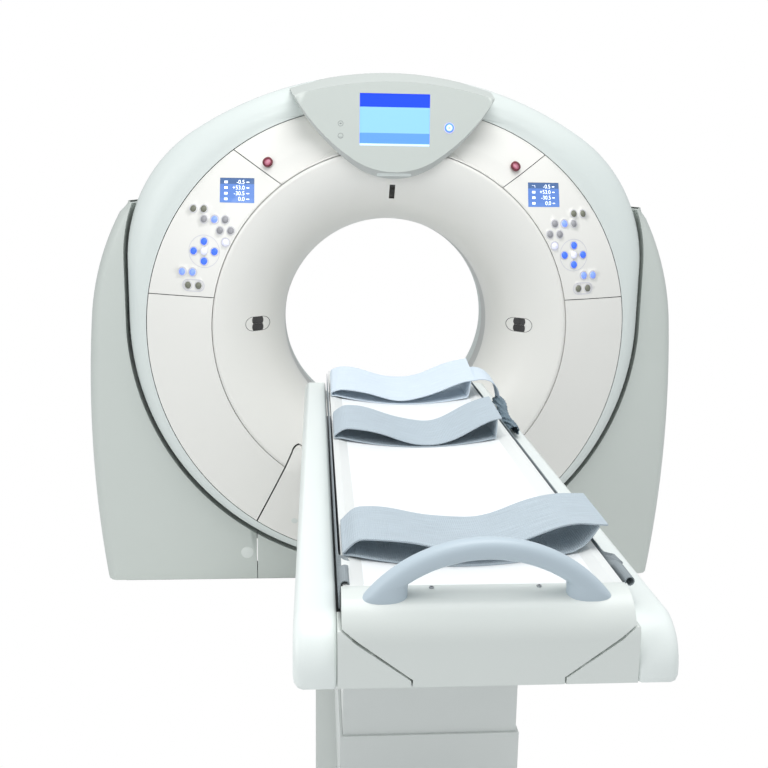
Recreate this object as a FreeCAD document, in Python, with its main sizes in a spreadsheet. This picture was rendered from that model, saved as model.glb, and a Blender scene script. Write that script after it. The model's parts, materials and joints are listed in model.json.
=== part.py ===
import FreeCAD, Part
import math
import os
import Sketcher
from FreeCAD import Placement, Rotation, Vector

# CT scanner: a tilting gantry on a floor stand, and a patient couch that lifts and slides into its bore.
# Origin: on the floor under the isocentre. X to the right seen from the couch, +Y through the bore away
# from the couch, +Z up. Millimetres.

DOC = FreeCAD.newDocument("ct_scanner")
SHEET = DOC.addObject("Spreadsheet::Sheet", "Sizes")


class Size:
    """A named value, or a sum or product of named values, with the expression that gives it."""

    def __init__(self, value, text):
        self.value = float(value)
        self.text = text

    def _join(self, other, sign, work, swap=False):
        value = float(other)
        text = other.text if isinstance(other, Size) else repr(value)
        if swap:
            return Size(work(value, self.value), "(%s %s %s)" % (text, sign, self.text))
        return Size(work(self.value, value), "(%s %s %s)" % (self.text, sign, text))

    def __float__(self):
        return self.value

    def __add__(self, other):
        return self._join(other, "+", lambda a, b: a + b)

    def __radd__(self, other):
        return self._join(other, "+", lambda a, b: a + b, True)

    def __sub__(self, other):
        return self._join(other, "-", lambda a, b: a - b)

    def __rsub__(self, other):
        return self._join(other, "-", lambda a, b: a - b, True)

    def __mul__(self, other):
        return self._join(other, "*", lambda a, b: a * b)

    def __rmul__(self, other):
        return self._join(other, "*", lambda a, b: a * b, True)

    def __truediv__(self, other):
        return self._join(other, "/", lambda a, b: a / b)

    def __neg__(self):
        return self._join(-1.0, "*", lambda a, b: a * b)


class Sizes:
    """The driving dimensions, one attribute for each row of the sheet."""


S = Sizes()

DRIVING = [
    # stand and tilting body, seen from the couch
    ("iso_height", 1031.0, "isocentre and tilt axis above the floor"),
    ("bore_radius", 390.0, "bore"),
    ("throat_half", 48.0, "half the straight throat"),
    ("dish_radius", 640.0, "seam between the dish and the outer ring of covers"),
    ("dish_front", 318.0, "dish seam in front of the scan plane"),
    ("edge_front", 188.0, "outer edge of the front covers in front of the scan plane"),
    ("edge_radius", 893.0, "outer edge of the front covers, lower half"),
    ("edge_drop", 26.0, "centre of that edge below the isocentre"),
    ("edge_shoulder", 800.0, "rounding of that edge above"),
    ("edge_shoulder_height", 1015.0, "centre of that rounding"),
    ("edge_top", 1818.0, "top of that edge"),
    ("ring_bulge", 10.0, "crown of the outer ring of covers"),
    ("rim_radius", 965.0, "rim of the tilting body"),
    ("rim_rise", 5.0, "centre of the rim above the isocentre"),
    ("rim_front", 108.0, "full rim in front of the scan plane"),
    ("rim_back", 140.0, "full rim behind the scan plane"),
    ("rim_top", 1940.0, "top of the gantry"),
    ("shoulder_radius", 555.0, "rounding of the upper shoulders"),
    ("shoulder_height", 1262.0, "centre of the shoulder rounding"),
    ("back_radius", 640.0, "outline that the back tapers towards"),
    ("back_depth", 600.0, "back of the body behind the scan plane"),
    ("back_corner", 60.0, "rounding of the back"),
    ("mouth_radius", 620.0, "rear mouth of the bore"),
    ("wall", 5.0, "moulded covers"),
    ("flange_depth", 22.0, "return flanges along the dish seam"),
    ("seam", 3.0, "joint lines between covers"),
    ("seat", 0.3, "gap between a cover and what it sits on"),
    ("tilt_gap", 13.0, "gap between the rim and the stand"),
    ("cavity_radius", 987.0, "spherical room for the tilting body"),
    ("stand_front", 128.0, "stand in front of the scan plane"),
    ("stand_back", 430.0, "stand behind the scan plane"),
    ("stand_foot", 1096.0, "half the width of the stand at the floor"),
    ("stand_bend", 1029.0, "where the side cover starts to turn in"),
    ("stand_bend_half", 1118.0, "half the width of the stand there"),
    ("stand_tip", 1433.0, "outer corner of the tip of the side cover"),
    ("stand_tip_half", 998.0, "half the width of the stand there"),
    ("stand_tip_rise", 42.0, "how far the tip goes on rising inwards"),
    ("stand_side_round", 4740.0, "bow of the side below the bend"),
    ("stand_bend_round", 1000.0, "bow of the side above the bend"),
    ("stand_round_y", 90.0, "rounded front corner, along the bore"),
    ("stand_round_x", 45.0, "rounded front corner, across the bore"),
    ("stand_back_round", 90.0, "rounded back corner, along the bore"),
    ("stand_back_inset", 60.0, "rounded back corner, across the bore"),
    ("stand_bottom_room", 150.0, "keeps the inner side of the cover outline within the opening"),
    ("stand_hollow", 60.0, "how far the hollow of a cover runs past its open sides"),
    ("centre_cover_half", 499.0, "half width of the lower covers"),
    ("floor_gap", 3.0, "covers above the floor"),
    ("base_height", 35.0, "floor frame"),
    ("base_half", 1075.0, "half width of the floor frame"),
    ("base_window_half", 800.0, "half width of the open middle"),
    ("base_beam", 100.0, "width of the cross beams"),
    ("anchor_half_x", 905.0, "anchor holes from the centre line"),
    ("anchor_half_y", 90.0, "anchor holes from the scan plane"),
    ("anchor_radius", 11.0, "anchor holes"),
    ("column_width", 80.0, "thickness of the columns"),
    ("column_depth", 220.0, "columns along the bore"),
    ("column_above", 125.0, "columns above the tilt axis"),
    ("trunnion_radius", 55.0, "trunnion shafts"),
    ("trunnion_reach", 1098.0, "end of the trunnions"),
    ("running_gap", 0.05, "radial running fit"),
    ("bearing_radius", 90.0, "trunnion bearings"),
    ("hole_room", 20.0, "room round a trunnion in the covers"),
    ("gearbox_radius", 90.0, "tilt gearbox"),
    ("gearbox_width", 34.0, "tilt gearbox along the axis"),
    ("motor_length", 260.0, "tilt motor"),
    # tilting frame and rotor
    ("frame_front", 105.0, "tilting frame plate behind the scan plane"),
    ("frame_depth", 50.0, "its thickness"),
    ("frame_outer", 880.0, "its ring"),
    ("frame_inner", 560.0, "its bearing seat"),
    ("arm_width", 120.0, "arms that carry the covers"),
    ("base_inset", 60.0, "how far the side beams stay back from the ends"),
    ("cover_reach", 90.0, "lower front cover along the bore"),
    ("post_radius", 8.0, "posts that carry the front covers"),
    ("bracket_inner", 830.0, "trunnion brackets"),
    ("bracket_outer", 940.0, "trunnion brackets"),
    ("bracket_half", 100.0, "half the height of the brackets"),
    ("bracket_front", 75.0, "brackets in front of the scan plane"),
    ("race_radius", 515.0, "rolling circle of the main bearing"),
    ("race_gap", 0.3, "gap between the races"),
    ("race_width", 64.0, "main bearing"),
    ("sleeve_radius", 470.0, "sleeve of the rotor"),
    ("sleeve_bore", 430.0, "clear bore of the rotor"),
    ("drum_radius", 806.0, "rotor plate"),
    ("drum_front", 20.0, "front face of the rotor plate"),
    ("drum_thick", 40.0, "rotor plate"),
    ("sleeve_end", 245.0, "end of the rotor sleeve"),
    ("slip_radius", 545.0, "slip ring"),
    ("slip_width", 34.0, "slip ring"),
    ("tube_radius", 112.0, "x-ray tube casing"),
    ("tube_offset", 655.0, "tube from the isocentre"),
    ("tube_length", 170.0, "tube casing along the bore"),
    ("collimator_half", 95.0, "collimator"),
    ("collimator_low", 428.0, "collimator from the isocentre"),
    ("collimator_high", 538.0, "collimator from the isocentre"),
    ("collimator_depth", 90.0, "collimator along the bore"),
    ("detector_inner", 560.0, "detector arc"),
    ("detector_outer", 650.0, "detector arc"),
    ("detector_span", 72.0, "detector arc in degrees"),
    ("detector_depth", 100.0, "detector along the bore"),
    ("generator_inner", 560.0, "generator box from the axis"),
    ("generator_outer", 775.0, "generator box from the axis"),
    ("generator_half", 150.0, "generator box"),
    ("generator_depth", 150.0, "generator box along the bore"),
    # front covers and controls
    ("panel_low", 1144.0, "lower edge of the control panels"),
    ("panel_top_x", 564.0, "outer end of the slanted panel edge"),
    ("panel_top_z", 1660.0, "outer end of the slanted panel edge"),
    ("panel_in_x", 381.0, "inner end of the slanted panel edge"),
    ("panel_in_z", 1534.0, "inner end of the slanted panel edge"),
    ("key_pitch", 39.0, "grid of the keys"),
    ("lamp_row_x", 668.0, "first key of the row from the centre line"),
    ("lamp_row_z", 1451.5, "height of the row"),
    ("set_row_x", 589.0, "first key of the row"),
    ("set_row_z", 1416.0, "height of the row"),
    ("plan_row_x", 569.0, "first key of the row"),
    ("plan_row_z", 1378.5, "height of the row"),
    ("start_row_x", 588.0, "the single key"),
    ("start_row_z", 1338.0, "height of the single key"),
    ("move_row_x", 709.0, "first key of the row"),
    ("move_row_z", 1230.0, "height of the row"),
    ("tilt_row_x", 687.0, "first key of the row"),
    ("tilt_row_z", 1183.5, "height of the row"),
    ("arrow_across", 38.5, "arrow keys from the centre of the cross"),
    ("arrow_up", 34.5, "arrow keys above and below the centre of the cross"),
    ("key_rim", 2.5, "how far the flange of a key stands out"),
    ("key_radius", 12.0, "keys"),
    ("key_left", 1.0, "how far a pressed key stands above the panel"),
    ("key_gap", 0.4, "gap round a key"),
    ("key_flange", 3.0, "flange that holds a key in"),
    ("key_travel", 2.0, "how far a key goes in"),
    ("cross_x", 666.0, "centre of the arrow keys"),
    ("cross_z", 1304.5, "centre of the arrow keys"),
    ("screen_x", 548.0, "centre of the small screens"),
    ("screen_z", 1518.0, "centre of the small screens"),
    ("screen_wide", 124.0, "small screens"),
    ("screen_tall", 86.0, "small screens"),
    ("screen_deep", 1.0, "small screens below the panel"),
    ("screen_thick", 6.0, "small screens"),
    ("stop_x", 436.0, "emergency stops"),
    ("stop_z", 1612.0, "emergency stops"),
    ("stop_radius", 18.0, "emergency stops"),
    ("stop_stem", 9.0, "stem of an emergency stop"),
    ("stop_proud", 9.0, "emergency stops above the cover"),
    ("stop_travel", 5.0, "how far a stop goes in"),
    ("access_top", 545.0, "rounded upper edge of the access panel from the axis"),
    ("access_half_top", 330.0, "half width of the access panel at its top"),
    ("access_half_low", 492.0, "half width where it meets the outer edge"),
    ("access_corner", 26.0, "rounded upper corners"),
    ("access_high", 600.0, "height of the upper corners"),
    ("access_low", 240.0, "height of the lower corners"),
    ("window_x", 481.0, "side laser windows"),
    ("window_rise", 13.0, "side windows above the axis"),
    ("window_long", 82.0, "side laser windows"),
    ("window_high", 50.0, "side laser windows"),
    ("slot_low", 466.0, "top laser slot from the axis"),
    ("slot_high", 515.0, "top laser slot from the axis"),
    ("slot_wide", 20.0, "top laser slot"),
    ("window_deep", 4.0, "laser windows below the dish"),
    ("window_thick", 6.0, "laser windows"),
    # display pod
    ("pod_bottom", 1566.0, "lowest point of the pod"),
    ("pod_round", 250.0, "rounding of its lower edge"),
    ("pod_side_round", 670.0, "bow of its sides"),
    ("pod_tip_x", 360.0, "tips"),
    ("pod_tip_z", 1866.0, "tips"),
    ("pod_front", 352.0, "face in front of the scan plane"),
    ("pod_lean", 26.0, "how far the face leans back to its top crease"),
    ("pod_crease", 1892.0, "top crease of the face, at its middle"),
    ("pod_arch", 1200.0, "rounding of the crease and of the roof, seen from the front"),
    ("pod_roof_back", 110.0, "back of the roof in front of the scan plane"),
    ("pod_roof_top", 1942.0, "back of the roof, at its middle"),
    ("pod_band", 24.0, "slanted silver band along the lower edge"),
    ("pod_wall", 5.0, "pod shell"),
    ("display_wide", 242.0, "screen"),
    ("display_low", 1677.0, "screen"),
    ("display_high", 1852.0, "screen"),
    ("display_thick", 12.0, "screen"),
    ("display_sunk", 2.0, "screen below the face"),
    ("power_x", 189.0, "power key"),
    ("power_z", 1741.0, "power key"),
    ("power_radius", 15.0, "power key"),
    # couch
    ("couch_half", 307.0, "outer half width of the couch"),
    ("couch_inner", 238.0, "inner face of the side panels"),
    ("couch_foot", 2412.0, "foot end from the scan plane"),
    ("couch_head", 535.0, "head end of the couch body from the scan plane"),
    ("couch_rail", 883.0, "top of the side panels"),
    ("couch_low", 787.0, "lower edge at the foot end"),
    ("belly_low", 745.0, "underside of the couch body"),
    ("belly_start", 2300.0, "where the belly reaches its depth"),
    ("foot_rounding", 86.0, "rounded foot end of the side panels"),
    ("panel_inner_edge", 6.0, "rounded inner edges of the side panels"),
    ("tray_rise", 14.5, "how far the floor rises at the foot end"),
    ("panel_edge", 16.0, "rounded edges of the side panels"),
    ("tray_floor", 20.0, "floor of the couch body"),
    ("glide_inner", 150.0, "glides and beams from the centre line"),
    ("glide_width", 30.0, "glides and beams"),
    ("glide_height", 35.0, "glides on the floor of the couch body"),
    ("top_half", 228.0, "half width of the couch top"),
    ("top_surface", 924.0, "edges of the couch top"),
    ("top_bottom", 878.0, "underside of the couch top"),
    ("top_head", 542.0, "head end of the couch top from the scan plane"),
    ("top_dip", 34.0, "how far the middle of the top lies below its edges"),
    ("top_bevel", 14.0, "slanted lower edges of the top"),
    ("rail_height", 6.0, "rails under the top"),
    ("top_lip", 14.0, "raised edges of the top"),
    ("mat_half", 208.0, "half width of the mat"),
    ("mat_edge", 4.0, "mat at its edges"),
    ("mat_thick", 10.0, "mat"),
    ("mat_foot", 2325.0, "foot end of the mat"),
    ("mat_head", 560.0, "head end of the mat"),
    ("carriage_half", 190.0, "half width of the carriage"),
    ("carriage_foot", 1445.0, "foot end of the carriage"),
    ("carriage_head", 560.0, "head end of the carriage"),
    ("carriage_plate", 8.0, "carriage plates"),
    ("cap_inner", 2336.0, "inner face of the foot cap"),
    ("cap_crease", 2347.0, "top front crease of the foot cap"),
    ("cap_half", 231.0, "half width of the foot cap"),
    ("cap_corner_z", 884.0, "upper end of the slanted edges of the cap"),
    ("cap_step_x", 205.0, "step in the slanted edges"),
    ("cap_step_z", 863.0, "step in the slanted edges"),
    ("cap_low_x", 120.0, "lower end of the slanted edges"),
    ("cap_low_z", 799.0, "lower end of the slanted edges"),
    ("cap_bottom", 780.0, "underside of the foot cap"),
    ("cap_slope", 200.0, "bulge of the foot cap"),
    ("cap_gap", 3.0, "gap between the cap and the corner covers"),
    ("handle_outer", 203.0, "outer side of the handle feet from the centre line"),
    ("handle_inner", 127.0, "inner side of the handle feet from the centre line"),
    ("handle_rise", 92.0, "top of the handle above the couch top"),
    ("handle_thick", 35.0, "handle"),
    ("handle_edge", 14.0, "rounded edges of the handle"),
    ("handle_y", 2366.0, "handle"),
    ("strap_thick", 3.0, "straps"),
    ("strap_half", 222.0, "folds of the straps from the centre line"),
    ("strap_reach", 300.0, "where the places of the straps are given, from the centre line"),
    ("strap_margin", 20.0, "room round the slack layer before it is trimmed"),
    ("crest_x", 190.0, "left crest of the slack layers from the centre line"),
    ("near_left", 2221.0, "front edge of the near strap on the left"),
    ("near_right", 2189.0, "front edge of the near strap on the right"),
    ("near_width", 165.0, "near strap"),
    ("near_start", 8.0, "slack layer at the left fold above the edges of the top"),
    ("near_crest", 27.0, "left crest of the slack layer above the edges of the top"),
    ("near_valley", 4.0, "valley of the slack layer above the edges of the top"),
    ("near_valley_x", 10.0, "valley of the slack layer from the centre line"),
    ("near_rise", 52.0, "right crest of the slack layer above the edges of the top"),
    ("near_rise_x", 240.0, "right crest of the slack layer from the centre line"),
    ("near_end", 285.0, "loose end of the slack layer from the centre line"),
    ("near_tilt", 2.0, "how much higher the slack layer lies along its rear edge"),
    ("middle_left", 1439.0, "front edge of the middle strap on the left"),
    ("middle_right", 1417.0, "front edge of the middle strap on the right"),
    ("middle_width", 195.0, "middle strap"),
    ("middle_start", 12.0, "slack layer at the left fold above the edges of the top"),
    ("middle_crest", 26.0, "left crest of the slack layer above the edges of the top"),
    ("middle_valley", -16.0, "valley of the slack layer above the edges of the top"),
    ("middle_valley_x", 25.0, "valley of the slack layer from the centre line"),
    ("middle_rise", 50.0, "right crest of the slack layer above the edges of the top"),
    ("middle_rise_x", 235.0, "right crest of the slack layer from the centre line"),
    ("middle_end", 246.0, "loose end of the slack layer from the centre line"),
    ("middle_tilt", 14.0, "how much higher the slack layer lies along its rear edge"),
    ("far_left", 947.0, "front edge of the far strap on the left"),
    ("far_right", 946.0, "front edge of the far strap on the right"),
    ("far_width", 190.0, "far strap"),
    ("far_start", 12.0, "slack layer at the left fold above the edges of the top"),
    ("far_crest", 19.0, "left crest of the slack layer above the edges of the top"),
    ("far_valley", -12.0, "valley of the slack layer above the edges of the top"),
    ("far_valley_x", -5.0, "valley of the slack layer from the centre line"),
    ("far_rise", 48.0, "right crest of the slack layer above the edges of the top"),
    ("far_rise_x", 250.0, "right crest of the slack layer from the centre line"),
    ("far_end", 258.0, "loose end of the slack layer from the centre line"),
    ("far_tilt", 33.0, "how much higher the slack layer lies along its rear edge"),
    # lift
    ("shroud_height", 260.0, "each shroud and column stage"),
    ("shroud_half", 200.0, "outer half width of the upper shroud"),
    ("shroud_foot", 1700.0, "foot end of the upper shroud"),
    ("shroud_head", 760.0, "head end of the upper shroud"),
    ("shroud_wall", 6.0, "shrouds"),
    ("shroud_gap", 0.6, "gap between shrouds"),
    ("mid_low", 247.0, "bottom of the middle stage"),
    ("base_shroud_top", 274.0, "top of the lowest stage"),
    ("floor_plate", 12.0, "couch floor plate"),
    ("floor_plate_half", 270.0, "couch floor plate"),
    ("floor_plate_foot", 1760.0, "couch floor plate"),
    ("floor_plate_head", 700.0, "couch floor plate"),
    ("stage_outer", 120.0, "lowest column stage, across"),
    ("stage_wall", 6.0, "column stages"),
    ("stage_gap", 0.3, "gap between column stages"),
    ("stage_spread", 230.0, "columns from the middle of the shroud"),
    ("duct_half", 150.0, "cable duct between couch and gantry"),
    ("duct_height", 45.0, "cable duct"),
    ("duct_slope", 30.0, "slanted sides of the duct"),
]

for row, (name, value, meaning) in enumerate(DRIVING, start=1):
    SHEET.set("A%d" % row, name)
    SHEET.set("B%d" % row, repr(value))
    SHEET.setAlias("B%d" % row, name)
    SHEET.set("C%d" % row, meaning)
    setattr(S, name, Size(value, "Sizes." + name))
DOC.recompute()

FLUSH = S.wall * 0.0
KEY_PROUD = S.key_travel + S.key_left
NODES = []


def keep(item, label):
    """Names a finished sub-part after its file."""
    item.Label = label
    NODES.append(item)
    return item


def bind(item, prop, size):
    """Sets a property, and ties it to the sheet when it is a named size."""
    if isinstance(size, Size):
        item.setExpression(prop, size.text)
    else:
        setattr(item, prop, float(size))


def place(item, x, y, z, rotation=None):
    """Puts an object at a point whose coordinates may be named sizes."""
    item.Placement = Placement(Vector(float(x), float(y), float(z)), rotation or Rotation())
    for axis, size in (("x", x), ("y", y), ("z", z)):
        if isinstance(size, Size):
            item.setExpression("Placement.Base." + axis, size.text)
    return item


def box(name, x, y, z):
    """A block between two values on each axis."""
    item = DOC.addObject("Part::Box", name)
    bind(item, "Length", x[1] - x[0])
    bind(item, "Width", y[1] - y[0])
    bind(item, "Height", z[1] - z[0])
    return place(item, x[0], y[0], z[0])


ALONG = {
    "X": Rotation(Vector(0, 1, 0), 90),
    "Y": Rotation(Vector(1, 0, 0), -90),
    "Z": Rotation(),
}


def rod(name, axis, radius, length, x, y, z):
    """A cylinder that starts at a point and runs along +X, +Y or +Z."""
    item = DOC.addObject("Part::Cylinder", name)
    bind(item, "Radius", radius)
    bind(item, "Height", length)
    return place(item, x, y, z, ALONG[axis])


def cut(name, base, tool):
    item = DOC.addObject("Part::Cut", name)
    item.Base = base
    item.Tool = tool
    return item


def fuse(name, parts):
    item = DOC.addObject("Part::MultiFuse", name)
    item.Shapes = parts
    return item


def common(name, parts):
    item = DOC.addObject("Part::MultiCommon", name)
    item.Shapes = parts
    return item


def tube(name, axis, outer, inner, length, x, y, z):
    """A round ring or sleeve."""
    return cut(name, rod(name + "_outside", axis, outer, length, x, y, z),
               rod(name + "_hole", axis, inner, length, x, y, z))


def root(size):
    return Size(math.sqrt(float(size)), "sqrt(%s)" % size.text)


def bend(start, end, radius):
    """The shorter arc from start to end; it bows to the right of that way when the radius is positive."""
    chord = end.sub(start)
    left = Vector(-chord.y, chord.x, 0).normalize()
    depth = math.sqrt(radius * radius - chord.Length ** 2 / 4.0)
    centre = start.add(end).multiply(0.5).add(left.multiply(math.copysign(depth, radius)))
    first, last = (start, end) if radius > 0 else (end, start)
    low, high = [math.atan2(spot.y - centre.y, spot.x - centre.x) for spot in (first, last)]
    if high < low:
        high += 2 * math.pi
    return Part.ArcOfCircle(Part.Circle(centre, Vector(0, 0, 1), abs(radius)), low, high)


PLANES = {
    # plane of a sketch: its rotation and the axis it is moved along
    "XZ": (Rotation(Vector(1, 0, 0), 90), "y"),
    "YZ": (Rotation(Vector(1, 1, 1), 120), "x"),
    "XY": (Rotation(), "z"),
}


def outline(name, plane, points, level=0.0, arcs=None):
    """A closed sketch through corner points. arcs maps the number of a side to its radius, which is positive
    when the side bows to the right of the way it is drawn."""
    item = DOC.addObject("Sketcher::SketchObject", name)
    arcs = arcs or {}
    spots = [Vector(float(u), float(v), 0) for u, v in points]
    starts = []
    for number, spot in enumerate(spots):
        after = spots[(number + 1) % len(spots)]
        radius = float(arcs.get(number, 0))
        side = bend(spot, after, radius) if radius else Part.LineSegment(spot, after)
        item.addGeometry(side, False)
        starts.append(2 if radius < 0 else 1)
    for number in range(len(spots)):
        after = (number + 1) % len(spots)
        item.addConstraint(Sketcher.Constraint("Coincident", number, 3 - starts[number], after,
                                               starts[after]))
    for number, pair in enumerate(points):
        for kind, size in zip(("DistanceX", "DistanceY"), pair):
            fixed = Sketcher.Constraint(kind, -1, 1, number, starts[number], float(size))
            tie(item, item.addConstraint(fixed), size)
    for number, radius in arcs.items():
        fixed = Sketcher.Constraint("Radius", number, abs(float(radius)))
        tie(item, item.addConstraint(fixed), radius if float(radius) > 0 else -radius)
    rotation, axis = PLANES[plane]
    where = {"x": 0.0, "y": 0.0, "z": 0.0}
    where[axis] = level
    return place(item, where["x"], where["y"], where["z"], rotation)


def tie(sketch, index, size):
    """Binds one constraint of a sketch to the sheet."""
    if isinstance(size, Size):
        sketch.setExpression("Constraints[%d]" % index, size.text)


def prism(name, plane, points, start, end, arcs=None):
    """A closed outline pushed from one level to another along its plane's axis."""
    item = DOC.addObject("Part::Extrusion", name)
    item.Base = outline(name + "_outline", plane, points, start, arcs)
    item.DirMode = "Custom"
    item.Dir = {"XZ": Vector(0, 1, 0), "YZ": Vector(1, 0, 0), "XY": Vector(0, 0, 1)}[plane]
    bind(item, "LengthFwd", end - start)
    item.Solid = True
    return item


def loft(name, sections, ruled=False):
    item = DOC.addObject("Part::Loft", name)
    item.Sections = sections
    item.Solid = True
    item.Ruled = ruled
    return item


def revolved(name, points, arcs=None):
    """A closed outline in radius and depth, turned about the axis of the bore."""
    item = DOC.addObject("Part::Revolution", name)
    item.Source = outline(name + "_outline", "XY", points, S.iso_height, arcs)
    item.Axis = Vector(0, 1, 0)
    item.Base = Vector(0, 0, float(S.iso_height))
    item.setExpression("Base.z", S.iso_height.text)
    item.Angle = 360
    item.Solid = True
    return item


def moved(name, item, y):
    """The same shape shifted along the bore."""
    copy = DOC.addObject("Part::Compound", name)
    copy.Links = [item]
    return place(copy, 0.0, y, 0.0)


def mirrored(name, item):
    """The same shape on the other side of the centre plane."""
    copy = DOC.addObject("Part::Mirroring", name)
    copy.Source = item
    copy.Base = Vector(0, 0, 0)
    copy.Normal = Vector(1, 0, 0)
    return copy


class Round:
    """An outline of the tilting body across the bore: a half circle below, straight sides, two shoulder arcs
    and a top arc that meets them smoothly."""

    def __init__(self, radius, centre, shoulder, shoulder_height, top):
        self.radius = radius
        self.centre = centre
        self.shoulder = shoulder
        self.shoulder_height = shoulder_height
        self.top = top

    def grown(self, amount):
        return Round(self.radius + amount, self.centre, self.shoulder + amount, self.shoulder_height,
                     self.top + amount)

    def towards(self, other, share):
        pairs = zip(vars(self).values(), vars(other).values())
        return Round(*[mine + (theirs - mine) * share for mine, theirs in pairs])

    def sketch(self, name, level):
        points, arcs = self.sides()
        return outline(name, "XZ", points, level, arcs)

    def sides(self):
        across = self.radius - self.shoulder
        rise = self.top - self.shoulder_height
        crown = (rise * rise + across * across - self.shoulder * self.shoulder) / ((rise - self.shoulder) * 2)
        share = crown / (crown - self.shoulder)
        meet_x = across * share
        meet_z = self.top - crown + (self.shoulder_height - self.top + crown) * share
        points = [
            (0.0, self.centre - self.radius),
            (self.radius, self.centre),
            (self.radius, self.shoulder_height),
            (meet_x, meet_z),
            (-meet_x, meet_z),
            (-self.radius, self.shoulder_height),
            (-self.radius, self.centre),
        ]
        return points, {0: self.radius, 2: self.shoulder, 3: crown, 4: self.shoulder, 6: self.radius}


def round_prism(name, shape, start, end):
    points, arcs = shape.sides()
    return prism(name, "XZ", points, start, end, arcs)


RIM = Round(S.rim_radius, S.iso_height + S.rim_rise, S.shoulder_radius, S.shoulder_height, S.rim_top)
EDGE = Round(S.edge_radius, S.iso_height - S.edge_drop, S.edge_shoulder, S.edge_shoulder_height, S.edge_top)
DISH = Round(S.dish_radius, S.iso_height, S.dish_radius - S.wall, S.iso_height + S.seam,
             S.iso_height + S.dish_radius)
BACK = Round(S.back_radius, S.iso_height, S.back_radius - S.wall, S.iso_height + S.seam,
             S.iso_height + S.back_radius)
RING_STRIPS = 3
ROUNDING_STRIPS = 5
BACK_STRIPS = 6
FRONT = -S.dish_front * 1.3
SIDES = (("left", -1), ("right", 1))


def quarter(count):
    """Sine and cosine at even steps through a quarter turn."""
    turns = [math.pi / 2 * number / count for number in range(count + 1)]
    return [(math.sin(turn), math.cos(turn)) for turn in turns]


def on_side(name, side, item):
    """A shape drawn on the right, or its mirror image on the left."""
    return item if side > 0 else mirrored(name, item)


# ---- front covers of the tilting body ----

# the outer ring of covers slopes from the dish seam to the edge, slightly crowned
ring_sections = []
for number in range(RING_STRIPS + 1):
    share = number / RING_STRIPS
    crown = S.ring_bulge * (4 * share * (1 - share))
    depth = S.dish_front + (S.edge_front - S.dish_front) * share
    ring_sections.append(DISH.towards(EDGE, share).grown(crown).sketch("ring_section_%d" % number, -depth))
ring_block = loft("ring_block", ring_sections, True)
ring_bare = cut("ring_bare", ring_block, moved("ring_block_behind", ring_block, S.wall))
seam_radius = S.dish_radius + S.seam * 0.5
ring_flange = tube("ring_flange", "Y", seam_radius + S.wall, seam_radius, S.flange_depth, 0.0,
                   S.wall * 0.8 - S.dish_front, S.iso_height)
inner_room = rod("inner_room", "Y", seam_radius, -FRONT, 0.0, FRONT, S.iso_height)
edge_room = round_prism("edge_room", EDGE.grown(-S.seam), FRONT, 0.0)
ring_whole = fuse("ring_whole", [ring_bare, ring_flange])
ring_skin = common("ring_skin", [cut("ring_open", ring_whole, inner_room), edge_room])

# the dish runs from the straight throat to the seam, and ends in a flange with a tongue across the seam
flare = (S.dish_radius - S.bore_radius + S.dish_front - S.throat_half) * 0.5 + S.seam * 0.5
dish_out = S.dish_radius - S.seam * 0.5
dish_end = S.flange_depth - S.dish_front
dish_skin = revolved("dish_skin", [
    (S.bore_radius, -S.throat_half - S.seat),
    (S.bore_radius + S.wall, -S.throat_half - S.seat),
    (dish_out - S.wall, S.wall - S.dish_front),
    (dish_out - S.wall, dish_end),
    (seam_radius - S.seat, dish_end),
    (seam_radius - S.seat, dish_end - S.wall),
    (dish_out, dish_end - S.wall),
    (dish_out, -S.dish_front),
], {1: flare - S.wall, 7: -flare})
dish_bare = revolved("dish_bare", [
    (S.bore_radius, -S.throat_half - S.seat),
    (S.bore_radius + S.wall, -S.throat_half - S.seat),
    (S.dish_radius, S.wall - S.dish_front),
    (S.dish_radius, -S.dish_front),
], {1: flare - S.wall * 0.5, 3: -flare})


def front_region(name, points, arcs=None):
    return prism(name, "XZ", points, FRONT, 0.0, arcs)


def access_region(name, grow):
    """The lower access panel seen from the front, made larger all round by grow."""
    top = S.access_top - grow
    half = S.access_half_top + grow
    shoulder = S.iso_height - root(top * top - half * half)
    spread = (S.access_half_low - S.access_half_top) / (S.access_high - S.access_low)
    corner = half + S.access_corner
    low = S.access_low * 0.4
    side = corner + (shoulder - S.access_corner - low) * spread
    return front_region(name, [
        (-side, low),
        (side, low),
        (corner, shoulder - S.access_corner),
        (half, shoulder),
        (-half, shoulder),
        (-corner, shoulder - S.access_corner),
    ], {2: S.access_corner * 1.2, 3: -top, 4: S.access_corner * 1.2})


slant = (S.panel_top_z - S.panel_in_z) / (S.panel_top_x - S.panel_in_x)
far = S.rim_radius * 1.2
near_in = S.panel_in_x * 0.6


def slant_height(x, side):
    """Height of the slanted seam at x: of its upper edge for side 1, of its lower edge for side -1."""
    return S.panel_in_z + (x - S.panel_in_x) * slant + S.seam * (0.6 * side)


upper_region = front_region("upper_region", [
    (-far, slant_height(far, 1)),
    (-near_in, slant_height(near_in, 1)),
    (near_in, slant_height(near_in, 1)),
    (far, slant_height(far, 1)),
    (far, S.rim_top * 1.2),
    (-far, S.rim_top * 1.2),
])
lower_region = front_region("lower_region", [
    (-far, 0.0),
    (far, 0.0),
    (far, S.panel_low - S.seam * 0.5),
    (-far, S.panel_low - S.seam * 0.5),
])
panel_region = front_region("panel_region", [
    (near_in, S.panel_low + S.seam * 0.5),
    (far, S.panel_low + S.seam * 0.5),
    (far, slant_height(far, -1)),
    (near_in, slant_height(near_in, -1)),
])
access_hole = access_region("access_hole", S.seam)
front_bare = fuse("front_bare", [common("ring_edge", [ring_bare, edge_room]), dish_bare])
keep(common("access_panel", [front_bare, access_region("access_shape", FLUSH)]), "lower_access_panel")
keep(cut("lower_ring", common("lower_ring_whole", [ring_skin, lower_region]), access_hole), "lower_fascia")
upper_bare = common("upper_ring", [ring_skin, upper_region])
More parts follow.
